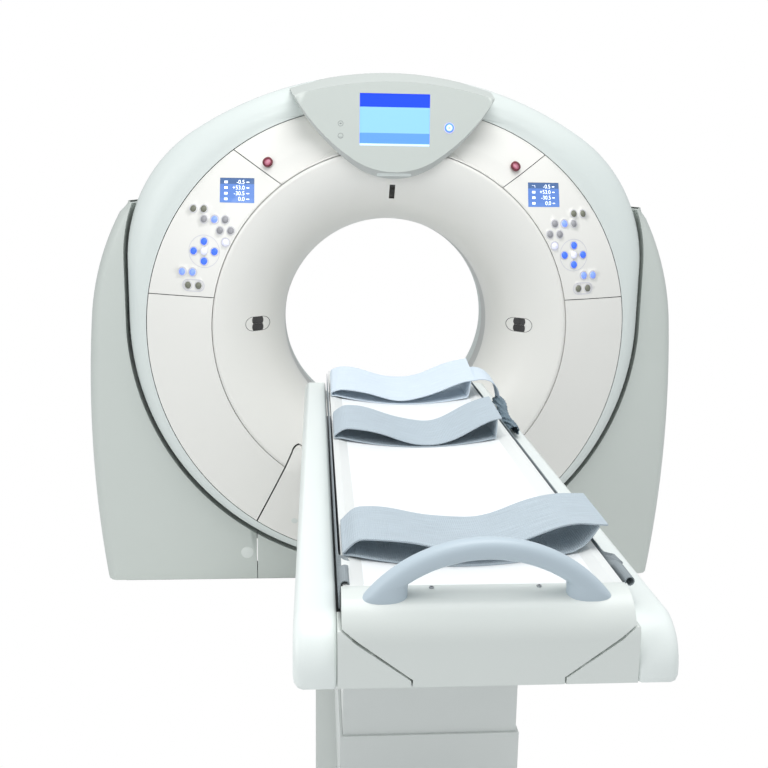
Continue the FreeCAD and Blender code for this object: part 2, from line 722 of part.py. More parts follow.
panel_bare = common("panel_right_bare", [ring_skin, panel_region])

# laser windows: a slot above the bore and an oval on each side of it
window_middle = S.iso_height + (S.slot_low + S.slot_high) * 0.5


def window_shapes(tag, grow):
    """The three window outlines, grown by a margin, as one tool."""
    wide = S.slot_wide * 0.5 + grow
    tall = (S.slot_high - S.slot_low) * 0.5 + grow
    shapes = [front_region("slot_" + tag, [
        (-wide, window_middle - tall),
        (wide, window_middle - tall),
        (wide, window_middle + tall),
        (-wide, window_middle + tall),
    ])]
    high = S.window_high * 0.5 + grow
    straight = (S.window_long - S.window_high) * 0.5
    level = S.iso_height + S.window_rise
    for name, side in SIDES:
        middle = S.window_x * side
        shapes.append(front_region("oval_%s_%s" % (tag, name), [
            (middle - straight, level - high),
            (middle + straight, level - high),
            (middle + straight, level),
            (middle + straight, level + high),
            (middle - straight, level + high),
            (middle - straight, level),
        ], {1: high, 2: high, 4: high, 5: high}))
    return fuse("windows_" + tag, shapes)


dish_block = revolved("dish_block", [
    (S.bore_radius, -S.throat_half),
    (S.dish_radius, -S.throat_half),
    (S.dish_radius, -S.dish_front),
], {2: -flare})
dish_cut = cut("dish_with_access", dish_skin, access_hole)
keep(cut("dish_with_windows", dish_cut, window_shapes("hole", FLUSH)), "inner_fascia")
pane_layer = cut("pane_layer", moved("pane_front", dish_block, S.window_deep),
                 moved("pane_back", dish_block, S.window_deep + S.window_thick))
keep(common("panes", [pane_layer, window_shapes("pane", -S.seat)]), "laser_windows")

# bore liner
keep(tube("liner", "Y", S.bore_radius + S.wall, S.bore_radius, S.throat_half * 2, 0.0, -S.throat_half,
          S.iso_height), "bore_liner")

# ---- rim and back of the tilting body ----

def cross_rod(name, radius, inner, outer):
    """A rod along X on the tilt axis, on the right."""
    return rod(name, "X", radius, outer - inner, inner, 0.0, S.iso_height)


def rim_block(name, shrink, opened=False):
    """The rim from the edge of the front covers to its full size, then straight to the back. An opened block
    also runs on forward from that edge."""
    sections = [EDGE.sketch(name + "_opening", FRONT)] if opened else []
    for number, (rise, fall) in enumerate(quarter(ROUNDING_STRIPS)):
        depth = S.rim_front + (S.edge_front - S.rim_front - shrink) * fall
        shape = EDGE.towards(RIM.grown(-shrink), rise)
        sections.append(shape.sketch("%s_section_%d" % (name, number), -depth))
    straight = round_prism(name + "_straight", RIM.grown(-shrink), -S.rim_front, S.rim_back)
    return fuse(name, [loft(name + "_rounding", sections, True), straight])


rim_outside = rim_block("rim_outside", FLUSH)
shaft_room = S.trunnion_radius + S.hole_room
rim_holes = []
for name, side in SIDES:
    hole = cross_rod("rim_hole_" + name, shaft_room, S.bracket_inner, S.trunnion_reach)
    rim_holes.append(on_side("rim_hole_mirror", side, hole))


def back_block(name, shrink):
    """The tapering back. Below, it stays inside the radius that the rim sweeps when the gantry tilts."""
    reach = math.hypot(float(S.rim_radius), float(S.rim_back))
    taper = float(S.rim_radius - S.back_radius)
    start = float(S.rim_back + S.seam)
    turn_in = float(S.back_depth - S.back_corner)
    stations = []
    for number in range(BACK_STRIPS + 1):
        depth = start + (turn_in - start) * number / BACK_STRIPS
        stations.append((depth, math.sqrt(reach * reach - depth * depth)))
    last = stations[-1][1]
    for rise, fall in quarter(3)[1:]:
        stations.append((turn_in + float(S.back_corner) * rise, last - float(S.back_corner) * (1 - fall)))
    sections = []
    for number, (depth, radius) in enumerate(stations):
        shape = RIM.towards(BACK, (float(S.rim_radius) - radius) / taper).grown(-shrink)
        sections.append(shape.sketch("%s_section_%d" % (name, number), depth - shrink))
    return loft(name, sections, True)


mouth = S.mouth_radius - S.bore_radius
mouth_length = S.back_depth - S.throat_half - S.seat
mouth_flare = (mouth * mouth + mouth_length * mouth_length) / (mouth * 2)
back_funnel = revolved("back_funnel", [
    (S.bore_radius, S.throat_half + S.seat),
    (S.bore_radius + S.wall, S.throat_half + S.seat),
    (S.mouth_radius + S.wall, S.back_depth),
    (S.mouth_radius, S.back_depth),
], {1: -mouth_flare, 3: mouth_flare})
back_shell = cut("back_shell", back_block("back_outside", FLUSH),
                 fuse("back_room", [back_block("back_inside", S.wall),
                                    rod("back_mouth", "Y", S.mouth_radius, S.back_depth, 0.0,
                                        S.throat_half * 2,
                                        S.iso_height)]))
lip_start = S.rim_back + S.seam
tongue = cut("tongue", round_prism("tongue_outside", RIM.grown(-S.wall - S.seat), S.rim_back - S.wall * 3,
                                   lip_start + S.wall * 0.6),
             round_prism("tongue_inside", RIM.grown(-S.wall * 2 - S.seat), FRONT, S.back_depth))
lip = cut("lip", round_prism("lip_outside", RIM.grown(-S.wall * 0.4), lip_start + S.seat, lip_start + S.wall),
          round_prism("lip_inside", RIM.grown(-S.wall * 2 - S.seat), FRONT, S.back_depth))
keep(fuse("back_cover", [back_shell, back_funnel, lip, tongue]), "rear_fascia")

# ---- display pod above the bore ----


lean = S.pod_lean / (S.pod_crease - S.pod_bottom)
roof_slope = (S.pod_roof_top - S.pod_crease) / (S.pod_front - S.pod_lean - S.pod_roof_back)
pod_start = FRONT * 1.2


def shield(name, shrink, raised, end):
    """The pod seen from the front: a round bottom, and sides that bow out to the tips."""
    low = S.pod_bottom + raised
    turn = S.pod_round * 0.6
    rise = S.pod_round - root(S.pod_round * S.pod_round - turn * turn)
    tip = S.pod_tip_x - shrink * 1.4
    tip_height = S.pod_tip_z + raised - shrink
    wide = S.pod_tip_x * 1.1 - shrink * 1.4
    high = S.rim_top + raised * 3.0 + S.pod_band - shrink
    return prism(name, "XZ", [
        (-turn, low + rise),
        (turn, low + rise),
        (tip, tip_height),
        (wide, high),
        (-wide, high),
        (-tip, tip_height),
    ], pod_start, end, {0: S.pod_round, 1: S.pod_side_round, 5: S.pod_side_round})


def pod_body(name, shrink):
    """The pod: its shield shape, with a face that leans back, an arched roof and a slanted lower edge."""
    outline_part = shield(name + "_front", shrink, shrink, -S.pod_roof_back)
    front = S.pod_front - shrink
    high = S.rim_top + S.pod_band
    low = S.pod_bottom * 0.9
    face_part = prism(name + "_side", "YZ", [
        (-front, low),
        (-front, S.pod_bottom),
        (lean * (high - S.pod_bottom) - front, high),
        (0.0, high),
        (0.0, low),
    ], -S.rim_radius, S.rim_radius)
    half = S.pod_tip_x * 1.1
    crown = S.pod_crease - shrink - roof_slope * (S.pod_lean - S.pod_front - pod_start)
    edge = crown - S.pod_arch + root(S.pod_arch * S.pod_arch - half * half)
    roof_part = prism(name + "_roof", "XZ", [
        (-half, low),
        (half, low),
        (half, edge),
        (-half, edge),
    ], pod_start, FLUSH, {2: S.pod_arch})
    roof_part.setExpression("Dir.z", roof_slope.text)
    band_part = shield(name + "_band", shrink, shrink * 1.4 + S.pod_band - S.pod_front - pod_start,
                       S.pod_front * 0.3)
    band_part.Dir = Vector(0, 1, -1)
    return common(name, [outline_part, face_part, roof_part, band_part])


pod_solid = pod_body("pod_solid", FLUSH)
pod_inner = pod_body("pod_inner", S.pod_wall)
pod_shell = cut("pod_shell", pod_solid, pod_inner)
seam_room = tube("seam_room", "Y", S.dish_radius + S.seam + S.wall * 2, S.dish_radius - S.wall, S.dish_front,
                 0.0, -S.dish_front - S.seat, S.iso_height)
pod_open = cut("pod_open", cut("pod_off_rim", pod_shell, rim_block("rim_seat", -S.seat)),
               fuse("pod_clearance", [moved("ring_seat", ring_block, -S.seat), seam_room]))


def pod_face(z):
    """Depth of the leaning face of the pod at a height."""
    return S.pod_front - (z - S.pod_bottom) * lean


def face_plate(name, half_x, low, high, sunk, thick):
    """A flat plate that lies in the leaning face of the pod."""
    return prism(name, "YZ", [
        (sunk - pod_face(low), low),
        (sunk + thick - pod_face(low), low),
        (sunk + thick - pod_face(high), high),
        (sunk - pod_face(high), high),
    ], -half_x, half_x)


screen_hole = face_plate("screen_hole", S.display_wide * 0.5, S.display_low, S.display_high, -S.wall,
                         S.wall * 4)
keep(face_plate("display_pane", S.display_wide * 0.5 - S.seat, S.display_low + S.seat,
                S.display_high - S.seat,
                S.display_sunk, S.display_thick), "display_screen")
pod_cut = cut("pod_with_screen", pod_open, screen_hole)

# ---- rim ----
rim_hollow = cut("rim_hollow", rim_outside, rim_block("rim_inside", S.wall, True))
keep(cut("rim_whole", rim_hollow, fuse("rim_holes", rim_holes)), "rim_shell")

# ---- tilting frame ----


def spoke(name, turn, inner, outer, half, start, end):
    """A bar from one radius to another at an angle round the bore, seen from the front."""
    along = (math.cos(math.radians(turn)), math.sin(math.radians(turn)))
    points = []
    for reach, side in ((inner, -half), (outer, -half), (outer, half), (inner, half)):
        points.append((reach * along[0] - side * along[1], S.iso_height + reach * along[1] + side * along[0]))
    return prism(name, "XZ", points, start, end)


frame_back = S.frame_front + S.frame_depth
plate = tube("frame_plate", "Y", S.frame_outer, S.frame_inner, S.frame_depth, 0.0, S.frame_front,
             S.iso_height)
spokes = [spoke("frame_arm_%d" % turn, turn, S.frame_inner + S.arm_width, S.rim_radius * 1.2,
                S.arm_width * 0.5,
                S.frame_front, frame_back) for turn in (45, 90, 135, 225, 270, 315)]
inside_rim = round_prism("inside_rim", RIM.grown(-(S.wall + S.seat) * 2), S.frame_front, frame_back)
arms = common("frame_arms", [fuse("frame_spokes", spokes), inside_rim])
frame_parts = [plate, arms]
for name, side in SIDES:
    bracket = box("bracket_" + name, (S.bracket_inner, S.bracket_outer), (-S.bracket_front, frame_back),
                  (S.iso_height - S.bracket_half, S.iso_height + S.bracket_half))
    shaft = cross_rod("trunnion_" + name, S.trunnion_radius, S.bracket_outer - S.arm_width * 0.5,
                      S.trunnion_reach)
    frame_parts.append(on_side("trunnion_mirror_" + name, side,
                               fuse("trunnion_arm_" + name, [bracket, shaft])))
post_ring = S.drum_radius + S.post_radius * 1.5
post_tips = []
for turn in (12, 55, 125, 168, 205, 230, 255, 285, 310, 335):
    x = post_ring * math.cos(math.radians(turn))
    z = S.iso_height + post_ring * math.sin(math.radians(turn))
    cap_plane = S.wall + S.seat - S.edge_front
    post_tips.append(rod("post_tip_%d" % turn, "Y", S.post_radius, cap_plane - FRONT, x, FRONT, z))
    frame_parts.append(rod("post_%d" % turn, "Y", S.post_radius, S.frame_front - cap_plane + S.wall, x,
                           cap_plane,
                           z))
frame_parts.append(common("post_ends", [fuse("post_tips", post_tips),
                                        moved("ring_inner", ring_block, S.wall + S.seat)]))
keep(fuse("frame_whole", frame_parts), "tilt_frame")

# ---- rotor ----
race_start = S.frame_front + (S.frame_depth - S.race_width) * 0.5
keep(tube("outer_race", "Y", S.frame_inner - S.seat * 0.5, S.race_radius + S.race_gap * 0.5, S.race_width,
          0.0,
          race_start, S.iso_height), "bearing_outer_race")
keep(tube("inner_race", "Y", S.race_radius - S.race_gap * 0.5, S.sleeve_radius + S.seat * 0.5, S.race_width,
          0.0,
          race_start, S.iso_height), "bearing_inner_race")
drum_plate = tube("drum_plate", "Y", S.drum_radius, S.sleeve_bore, S.drum_thick, 0.0, S.drum_front,
                  S.iso_height)
sleeve = tube("drum_sleeve", "Y", S.sleeve_radius, S.sleeve_bore, S.sleeve_end - S.drum_front, 0.0,
              S.drum_front,
              S.iso_height)
generator_levels = (S.iso_height - S.generator_half, S.iso_height + S.generator_half)
generator_depths = (S.drum_front - S.generator_depth, S.drum_front)
balance = box("balance_block", (S.generator_inner, S.generator_outer), generator_depths, generator_levels)
keep(fuse("drum", [drum_plate, sleeve, balance]), "rotor_drum")
keep(tube("slip", "Y", S.slip_radius, S.sleeve_radius + S.seat * 0.5, S.slip_width, 0.0,
          S.sleeve_end - S.slip_width, S.iso_height), "slip_ring")
keep(rod("tube_casing", "Y", S.tube_radius, S.tube_length, 0.0, S.drum_front - S.tube_length,
         S.iso_height + S.tube_offset), "xray_tube")
keep(box("collimator_box", (-S.collimator_half, S.collimator_half),
         (S.drum_front - S.collimator_depth, S.drum_front),
         (S.iso_height + S.collimator_low, S.iso_height + S.collimator_high)), "collimator")
half_span = math.radians(float(S.detector_span) / 2)
detector_points = []
for radius, side in ((S.detector_inner, -1), (S.detector_outer, -1), (S.detector_outer, 1),
                     (S.detector_inner, 1)):
    detector_points.append((radius * (side * math.sin(half_span)),
                            S.iso_height - radius * math.cos(half_span)))
keep(prism("detector_arc", "XZ", detector_points, S.drum_front - S.detector_depth, S.drum_front,
           {1: S.detector_outer, 3: -S.detector_inner}), "detector")
keep(box("generator_box", (-S.generator_outer, -S.generator_inner), generator_depths, generator_levels),
     "hv_generator")

# ---- stand ----
stand_bottom = S.floor_gap


def side_outline(inset):
    """Side cover seen from the front, from its joint with the lower covers to its tip."""
    joint = S.centre_cover_half + S.seam
    return [
        (joint, stand_bottom),
        (S.stand_foot - inset, stand_bottom),
        (S.stand_bend_half - inset, S.stand_bend),
        (S.stand_tip_half - inset, S.stand_tip),
        (S.rim_radius - S.tilt_gap, S.stand_tip + S.stand_tip_rise),
        (S.shoulder_radius, S.iso_height + S.stand_bottom_room),
        (joint, S.iso_height - S.stand_bottom_room),
    ]


def side_block(name, shrink, low):
    """Side cover on the right as one block, with rounded front and back corners."""
    sections = []
    stations = [(-S.stand_front + S.stand_round_y * (1 - fall) + shrink * fall, S.stand_round_x * (1 - rise))
                for rise, fall in quarter(4)]
    stations += [(S.stand_back - S.stand_back_round * (1 - rise) - shrink * rise,
                  S.stand_back_inset * (1 - fall))
                 for rise, fall in quarter(3)]
    for number, (depth, inset) in enumerate(stations):
        points = side_outline(inset + shrink)
        arcs = {1: S.stand_side_round, 2: S.stand_bend_round}
        if low is not None:
            floor = [(points[0][0] - low, points[0][1] - low), (points[1][0], points[1][1] - low)]
            points = floor + points[1:6] + [(points[6][0] - low, points[6][1])]
            arcs = {2: S.stand_side_round, 3: S.stand_bend_round}
        sections.append(outline("%s_section_%d" % (name, number), "XZ", points, depth, arcs))
    return loft(name, sections, True)


def cavity(name, grow):
    """Room for the tilting body: its outline pushed along the bore, and the ball that it sweeps."""
    ball = DOC.addObject("Part::Sphere", name + "_ball")
    bind(ball, "Radius", S.cavity_radius + grow)
    place(ball, 0.0, 0.0, S.iso_height)
    half = S.rim_radius + S.tilt_gap + grow
    slab = box(name + "_slab", (-half, half), (-S.cavity_radius * 1.1, S.cavity_radius * 1.1),
               (0.0, S.iso_height * 2.2))
    opening = round_prism(name + "_opening", RIM.grown(S.tilt_gap + grow), -S.stand_front * 1.5,
                          S.stand_back * 1.5)
    return [common(name + "_sweep", [ball, slab]), opening]


def carve(name, block, tools):
    """Cuts tools away one after another."""
    for number, tool in enumerate(tools):
        block = cut("%s_%d" % (name, number), block, tool)
    return block


side_outer = carve("side_outer", side_block("side_block", FLUSH, None), cavity("cavity", FLUSH))
side_inner = carve("side_inner", side_block("side_room", S.wall, S.stand_hollow),
                   cavity("cavity_wall", S.wall))
side_shell = cut("side_shell", side_outer, side_inner)
side_hole = cross_rod("side_hole", shaft_room, S.bracket_outer, S.rim_radius + S.tilt_gap + S.wall * 3)
right_cover = cut("side_cover", side_shell, side_hole)
keep(right_cover, "right_side_cover")
keep(mirrored("side_cover_mirror", right_cover), "left_side_cover")


base_front = S.wall + S.seat - S.stand_front
base_back = S.stand_back - S.wall - S.seat
beam_half = S.base_half - S.base_inset
base = fuse("base_beams", [
    box("front_beam", (-beam_half, beam_half), (base_front, base_front + S.base_beam), (0.0, S.base_height)),
    box("back_beam", (-beam_half, beam_half), (base_back - S.base_beam, base_back), (0.0, S.base_height)),
    box("left_beam", (-S.base_half, -S.base_window_half),
        (base_front + S.base_inset, base_back - S.base_inset),
        (0.0, S.base_height)),
    box("right_beam", (S.base_window_half, S.base_half),
        (base_front + S.base_inset, base_back - S.base_inset),
        (0.0, S.base_height)),
])
anchors = [rod("anchor_%d_%d" % (across, along), "Z", S.anchor_radius, S.base_height,
               S.anchor_half_x * across,
               S.anchor_half_y * along, 0.0) for across in (-1, 1) for along in (-1, 1)]
keep(cut("base", base, fuse("anchors", anchors)), "gantry_base_frame")

column_inner = S.rim_radius + S.tilt_gap + S.wall + S.seat
column_outer = column_inner + S.column_width
columns = []
bearings = []
for name, side in SIDES:
    block = box("column_block_" + name, (column_inner, column_outer),
                (-S.column_depth * 0.5, S.column_depth * 0.5),
                (S.base_height, S.iso_height + S.column_above))
    seat_hole = cross_rod("bearing_seat_" + name, S.bearing_radius, column_inner, column_outer)
    columns.append(on_side("column_mirror_" + name, side, cut("column_" + name, block, seat_hole)))
    outer = cross_rod("bearing_outside_" + name, S.bearing_radius - S.seat * 0.5, column_inner, column_outer)
    inner = cross_rod("bearing_bore_" + name, S.trunnion_radius + S.running_gap, column_inner, column_outer)
    bearings.append(on_side("bearing_mirror_" + name, side, cut("bearing_" + name, outer, inner)))


def together(name, items):
    """Separate solids that share one sub-part."""
    group = DOC.addObject("Part::Compound", name)
    group.Links = items
    return group


keep(together("columns", columns), "side_columns")
keep(together("bearings", bearings), "trunnion_bearings")
gearbox_end = column_outer + S.gearbox_width
gearbox = fuse("gearbox_body", [
    cross_rod("gearbox_round", S.gearbox_radius, column_outer, gearbox_end),
    rod("motor", "Z", S.gearbox_width * 0.5, S.motor_length, column_outer + S.gearbox_width * 0.5, 0.0,
        S.iso_height - S.gearbox_radius * 0.8 - S.motor_length),
])
keep(cut("gearbox", gearbox, cross_rod("gearbox_bore", S.trunnion_radius + S.running_gap, column_outer,
                                       gearbox_end)), "tilt_gearmotor")


def centre_cover(name, start, end, wall_start, wall_end):
    """A low cover between the side covers, hollow and open below, carved by the room for the body."""
    half = S.centre_cover_half
    top = S.stand_bottom_room * 2.0
    outer = carve(name + "_outer", box(name + "_block", (-half, half), (start, end), (stand_bottom, top)),
                  cavity(name + "_cavity", FLUSH))
    inner = carve(name + "_inner", box(name + "_room", (-half - S.wall, half + S.wall),
                                       (wall_start, wall_end),
                                       (-S.wall, top + S.wall)), cavity(name + "_cavity_wall", S.wall))
    return cut(name, outer, inner)


keep(centre_cover("front_low", -S.stand_front, -S.stand_front + S.cover_reach, -S.stand_front + S.wall,
                  -S.stand_front + S.cover_reach + S.wall), "lower_front_cover")
keep(centre_cover("back_low", S.stand_back - S.cover_reach * 2.0, S.stand_back,
                  S.stand_back - S.cover_reach * 2.0 - S.wall, S.stand_back - S.wall), "lower_rear_cover")

# ---- keys and stops, each seated square to the cover that holds it ----
DOC.recompute()


def seat_on(shape, x, z):
    """Where a line along the bore first meets a cover, and the direction that points out of it there."""
    line = Part.makeLine(Vector(float(x), float(FRONT) * 1.2, float(z)), Vector(float(x), 0, float(z)))
    spot = min((vertex.Point for vertex in shape.common(line).Vertexes), key=lambda point: point.y)
    face = min(shape.Faces, key=lambda part: part.distToShape(Part.Vertex(spot))[0])
    normal = face.normalAt(*face.Surface.parameter(spot))
    if normal.y > 0:
        normal = normal.multiply(-1)
    return spot, Rotation(Vector(0, 0, 1), normal)


def lathe(name, seat, steps):
    """Coaxial discs on a seat: each step is (radius, lowest height, highest height) above the cover."""
    spot, rotation = seat
    discs = []
    for number, (radius, low, high) in enumerate(steps):
        disc = DOC.addObject("Part::Cylinder", "%s_disc_%d" % (name, number))
        bind(disc, "Radius", radius)
        bind(disc, "Height", high - low)
        disc.Placement = Placement(spot.add(rotation.multVec(Vector(0, 0, float(low)))), rotation)
        discs.append(disc)
    return fuse(name, discs) if len(discs) > 1 else discs[0]


def key_steps(radius, proud):
    under = -S.wall - S.seat * 2
    return [
        (radius, under - S.key_flange, proud),
        (radius + S.key_rim, under - S.key_flange, under),
    ]


def key_hole(name, seat, radius):
    return lathe(name, seat, [(radius + S.key_gap, -S.wall * 3, S.wall * 3)])


def front_box(name, x, z, wide, tall, grow):
    """An upright rectangle seen from the front, grown by a margin."""
    half = wide * 0.5 + grow
    rise = tall * 0.5 + grow
    return front_region(name, [(x - half, z - rise), (x + half, z - rise), (x + half, z + rise),
                               (x - half, z + rise)])


KEY_ROWS = ("lamp", "set", "plan", "start", "move", "tilt")
ROW_LENGTHS = {"lamp": 2, "set": 3, "plan": 2, "start": 1, "move": 2, "tilt": 2}
ARROWS = (("up", 0, 1), ("down", 0, -1), ("inner", -1, 0), ("outer", 1, 0))

# the panel is worked out on the right, then mirrored with its screen and its arrow keys
caps = []
cap_steps = [(S.key_radius, -S.wall * 0.5, KEY_PROUD * 0.7)]
for row in KEY_ROWS:
    for number in range(ROW_LENGTHS[row]):
        x = getattr(S, row + "_row_x") + S.key_pitch * number
        name = "%s_key_%d" % (row, number)
        caps.append(lathe(name, seat_on(ring_block.Shape, x, getattr(S, row + "_row_z")), cap_steps))
caps.append(lathe("centre_key", seat_on(ring_block.Shape, S.cross_x, S.cross_z), cap_steps))
pane_hole = front_box("pane_hole", S.screen_x, S.screen_z, S.screen_wide, S.screen_tall, FLUSH)
key_holes = [pane_hole]
arrow_keys = []
for name, across, up in ARROWS:
    seat = seat_on(ring_block.Shape, S.cross_x + S.arrow_across * across, S.cross_z + S.arrow_up * up)
    arrow_keys.append((name, lathe(name + "_key", seat, key_steps(S.key_radius, KEY_PROUD))))
    key_holes.append(key_hole(name + "_hole", seat, S.key_radius))
panel = cut("panel_right", fuse("panel_with_caps", [panel_bare] + caps), fuse("panel_holes", key_holes))
pane_sheet = cut("pane_sheet", moved("pane_sheet_front", ring_block, S.screen_deep),
                 moved("pane_sheet_back", ring_block, S.screen_deep + S.screen_thick))
pane = common("pane", [pane_sheet, front_box("pane_shape", S.screen_x, S.screen_z, S.screen_wide,
                                             S.screen_tall,
                                             -S.seat)])
keep(panel, "right_control_panel")
keep(mirrored("panel_left", panel), "left_control_panel")
keep(together("panes_both", [pane, mirrored("pane_left", pane)]), "panel_screens")
for name, key in arrow_keys:
    keep(key, "right_%s_key" % name)
    keep(mirrored("left_%s_mirror" % name, key), "left_%s_key" % name)

# emergency stops: a mushroom head on a stem
stop_seat = seat_on(ring_block.Shape, S.stop_x, S.stop_z)
under_cover = -S.wall - S.seat
stop = lathe("stop", stop_seat, [
    (S.stop_radius, S.stop_travel + S.seat * 2, S.stop_travel + S.stop_proud),
    (S.stop_stem, under_cover - S.key_flange, S.stop_travel + S.stop_proud * 0.5),
    (S.stop_stem + S.key_rim, under_cover - S.key_flange, under_cover),
])
stop_hole = key_hole("stop_hole", stop_seat, S.stop_stem)
keep(cut("upper_ring_holed", upper_bare, fuse("stop_holes", [stop_hole,
                                                             mirrored("stop_hole_left", stop_hole)])),
     "upper_fascia")
keep(stop, "right_stop_button")
keep(mirrored("stop_left", stop), "left_stop_button")

# power key in the face of the pod
power_seat = seat_on(pod_solid.Shape, S.power_x, S.power_z)
keep(lathe("power", power_seat, key_steps(S.power_radius, KEY_PROUD)), "power_key")
keep(cut("pod", pod_cut, key_hole("power_hole", power_seat, S.power_radius)), "display_housing")

# ---- couch body ----


def foot_profile(name, shrink, start):
    """The couch body seen from the side: rounded foot end, belly that drops away behind it."""
    near = -S.couch_foot + shrink
    high = S.couch_rail - shrink
    rounding = S.foot_rounding - shrink * 2
    belly = S.belly_low + shrink
    head = -S.couch_head - shrink
    low = S.couch_low + shrink
    return outline(name, "YZ", [
        (near, low),
        (-S.belly_start, belly),
        (head, belly),
        (head, high),
        (near + rounding, high),
        (near, high - rounding),
    ], start, {4: rounding})


def side_panel(name, shrink):
    """Side panel on the right, rounded along its outer and inner upper edges."""
    sections = []
    inner = S.couch_inner + shrink
    outer = S.couch_half - shrink
    for number, (rise, fall) in enumerate(quarter(2)):
        inset = S.panel_inner_edge * (1 - rise)
        sections.append(foot_profile("%s_in_%d" % (name, number), inset + shrink,
                                     inner + S.panel_inner_edge * (1 - fall)))
    for number, (rise, fall) in enumerate(quarter(3)):
        inset = S.panel_edge * (1 - fall)
        sections.append(foot_profile("%s_out_%d" % (name, number), inset + shrink,
                                     outer - S.panel_edge * (1 - rise)))
    return loft(name, sections, True)


panel_hollow = box("panel_underside", (S.couch_inner + S.wall, S.couch_half - S.panel_edge),
                   (-S.belly_start, -S.couch_head - S.wall), (S.belly_low - S.wall, S.belly_low + S.wall * 2))
side_hollow = cut("side_panel_shell", side_panel("side_panel_outside", FLUSH),
                  fuse("side_panel_room", [side_panel("side_panel_inside", S.wall), panel_hollow]))
keep(side_hollow, "right_side_panel")
keep(mirrored("side_panel_left", side_hollow), "left_side_panel")

frame_half = S.couch_inner - S.seat
floor_top = S.belly_low + S.tray_floor
nose = S.couch_foot - S.wall * 5
floor = prism("couch_floor", "YZ", [
    (-nose, floor_top + S.tray_rise * 0.8),
    (-S.belly_start, S.belly_low),
    (-S.couch_head, S.belly_low),
    (-S.couch_head, floor_top),
    (-S.belly_start, floor_top),
    (-nose, floor_top + S.tray_rise),
], -frame_half, frame_half)
glide_half = S.glide_width * 0.5
glides = [box("glide_" + name, (S.glide_inner * side - glide_half, S.glide_inner * side + glide_half),
              (-S.belly_start, -S.couch_head), (floor_top - S.wall, floor_top + S.glide_height))
          for name, side in SIDES]
keep(fuse("couch_body", [floor] + glides), "couch_frame")
glide_top = floor_top + S.glide_height

# foot cap above the slanted edges, corner covers below them
SLANT = [
    (S.cap_half, S.cap_corner_z),
    (S.cap_step_x, S.cap_step_z),
    (S.cap_low_x, S.cap_low_z),
    (S.cap_low_x, S.belly_low),
]


def cap_profile(name, shrink, back):
    """The foot cap seen from the side: a bulging slope from the crease down to the foot end."""
    return prism(name, "YZ", [
        (-S.couch_foot + shrink, S.couch_low),
        (-S.couch_foot + S.wall * 4, S.cap_bottom),
        (back, S.cap_bottom),
        (back, S.top_surface - shrink),
        (-S.cap_crease + shrink, S.top_surface - shrink),
    ], -S.couch_half, S.couch_half, {4: S.cap_slope})


cap_left = [(-x, z) for x, z in SLANT]
cap_right = list(reversed(SLANT))
cap_front = prism("cap_front", "XZ", [(-S.cap_half, S.top_surface * 1.1)] + cap_left + cap_right
                  + [(S.cap_half, S.top_surface * 1.1)], -S.couch_foot * 1.1, -S.cap_inner)
cap_left_room = [(-x + S.wall, z + S.wall) for x, z in SLANT]
cap_right_room = [(x - S.wall, z + S.wall) for x, z in reversed(SLANT)]
cap_room_front = prism("cap_room_front", "XZ", [(-S.cap_half + S.wall, S.top_surface * 1.1)] + cap_left_room
                       + cap_right_room + [(S.cap_half - S.wall, S.top_surface * 1.1)],
                       -S.couch_foot * 1.1, -S.cap_inner + S.wall)
cap_solid = common("cap_solid", [cap_front, cap_profile("cap_side", FLUSH, -S.cap_inner)])
cap_room = common("cap_room", [cap_room_front, cap_profile("cap_room_side", S.wall, -S.cap_inner + S.wall)])
keep(cut("cap", cap_solid, cap_room), "foot_cap")


def corner_region(name, grow, back):
    """Below the slanted edge of the cap on the right, a gap away from it."""
    gap = S.cap_gap + grow
    return prism(name, "XZ", [
        (S.cap_low_x + gap, S.belly_low),
        (frame_half - grow, S.belly_low),
        (frame_half - grow, S.cap_corner_z - gap * 1.3),
        (S.cap_half + S.cap_gap * 0.5, S.cap_corner_z - gap * 1.3),
        (S.cap_step_x + gap, S.cap_step_z - gap * 1.3),
        (S.cap_low_x + gap, S.cap_low_z - gap * 0.6),
    ], -S.couch_foot * 1.1, back)


corner_solid = common("corner_solid", [corner_region("corner_front", FLUSH, -S.cap_inner),
                                       cap_profile("corner_side", FLUSH, -S.cap_inner)])
corner_room = common("corner_room", [corner_region("corner_room_front", S.wall, -S.cap_inner + S.wall),
                                     cap_profile("corner_room_side", S.wall, -S.cap_inner + S.wall)])
corner = cut("corner", corner_solid, corner_room)
keep(together("corners", [corner, mirrored("corner_left", corner)]), "corner_covers")

# ---- couch top ----
carriage_low = glide_top + S.seat
carriage_high = S.top_bottom - S.rail_height
trough_half = S.top_half - S.top_lip
trough_round = (trough_half * trough_half + S.top_dip * S.top_dip) / (S.top_dip * 2)
top_section = [
    (-S.top_half + S.top_bevel, S.top_bottom),
    (S.top_half - S.top_bevel, S.top_bottom),
    (S.top_half, S.top_bottom + S.top_bevel),
    (S.top_half, S.top_surface),
    (trough_half, S.top_surface),
    (-trough_half, S.top_surface),
    (-S.top_half, S.top_surface),
    (-S.top_half, S.top_bottom + S.top_bevel),
]
board = prism("top_board", "XZ", top_section, -S.cap_inner + S.seat, -S.top_head, {4: -trough_round})
rails = [box("rail_" + name, (S.glide_inner * side - S.glide_width * 0.5,
                              S.glide_inner * side + S.glide_width * 0.5),
             (-S.cap_inner + S.wall * 2, -S.top_head), (carriage_high + S.seat, S.top_bottom + S.wall))
         for name, side in SIDES]
keep(fuse("top_whole", [board] + rails), "couch_top")

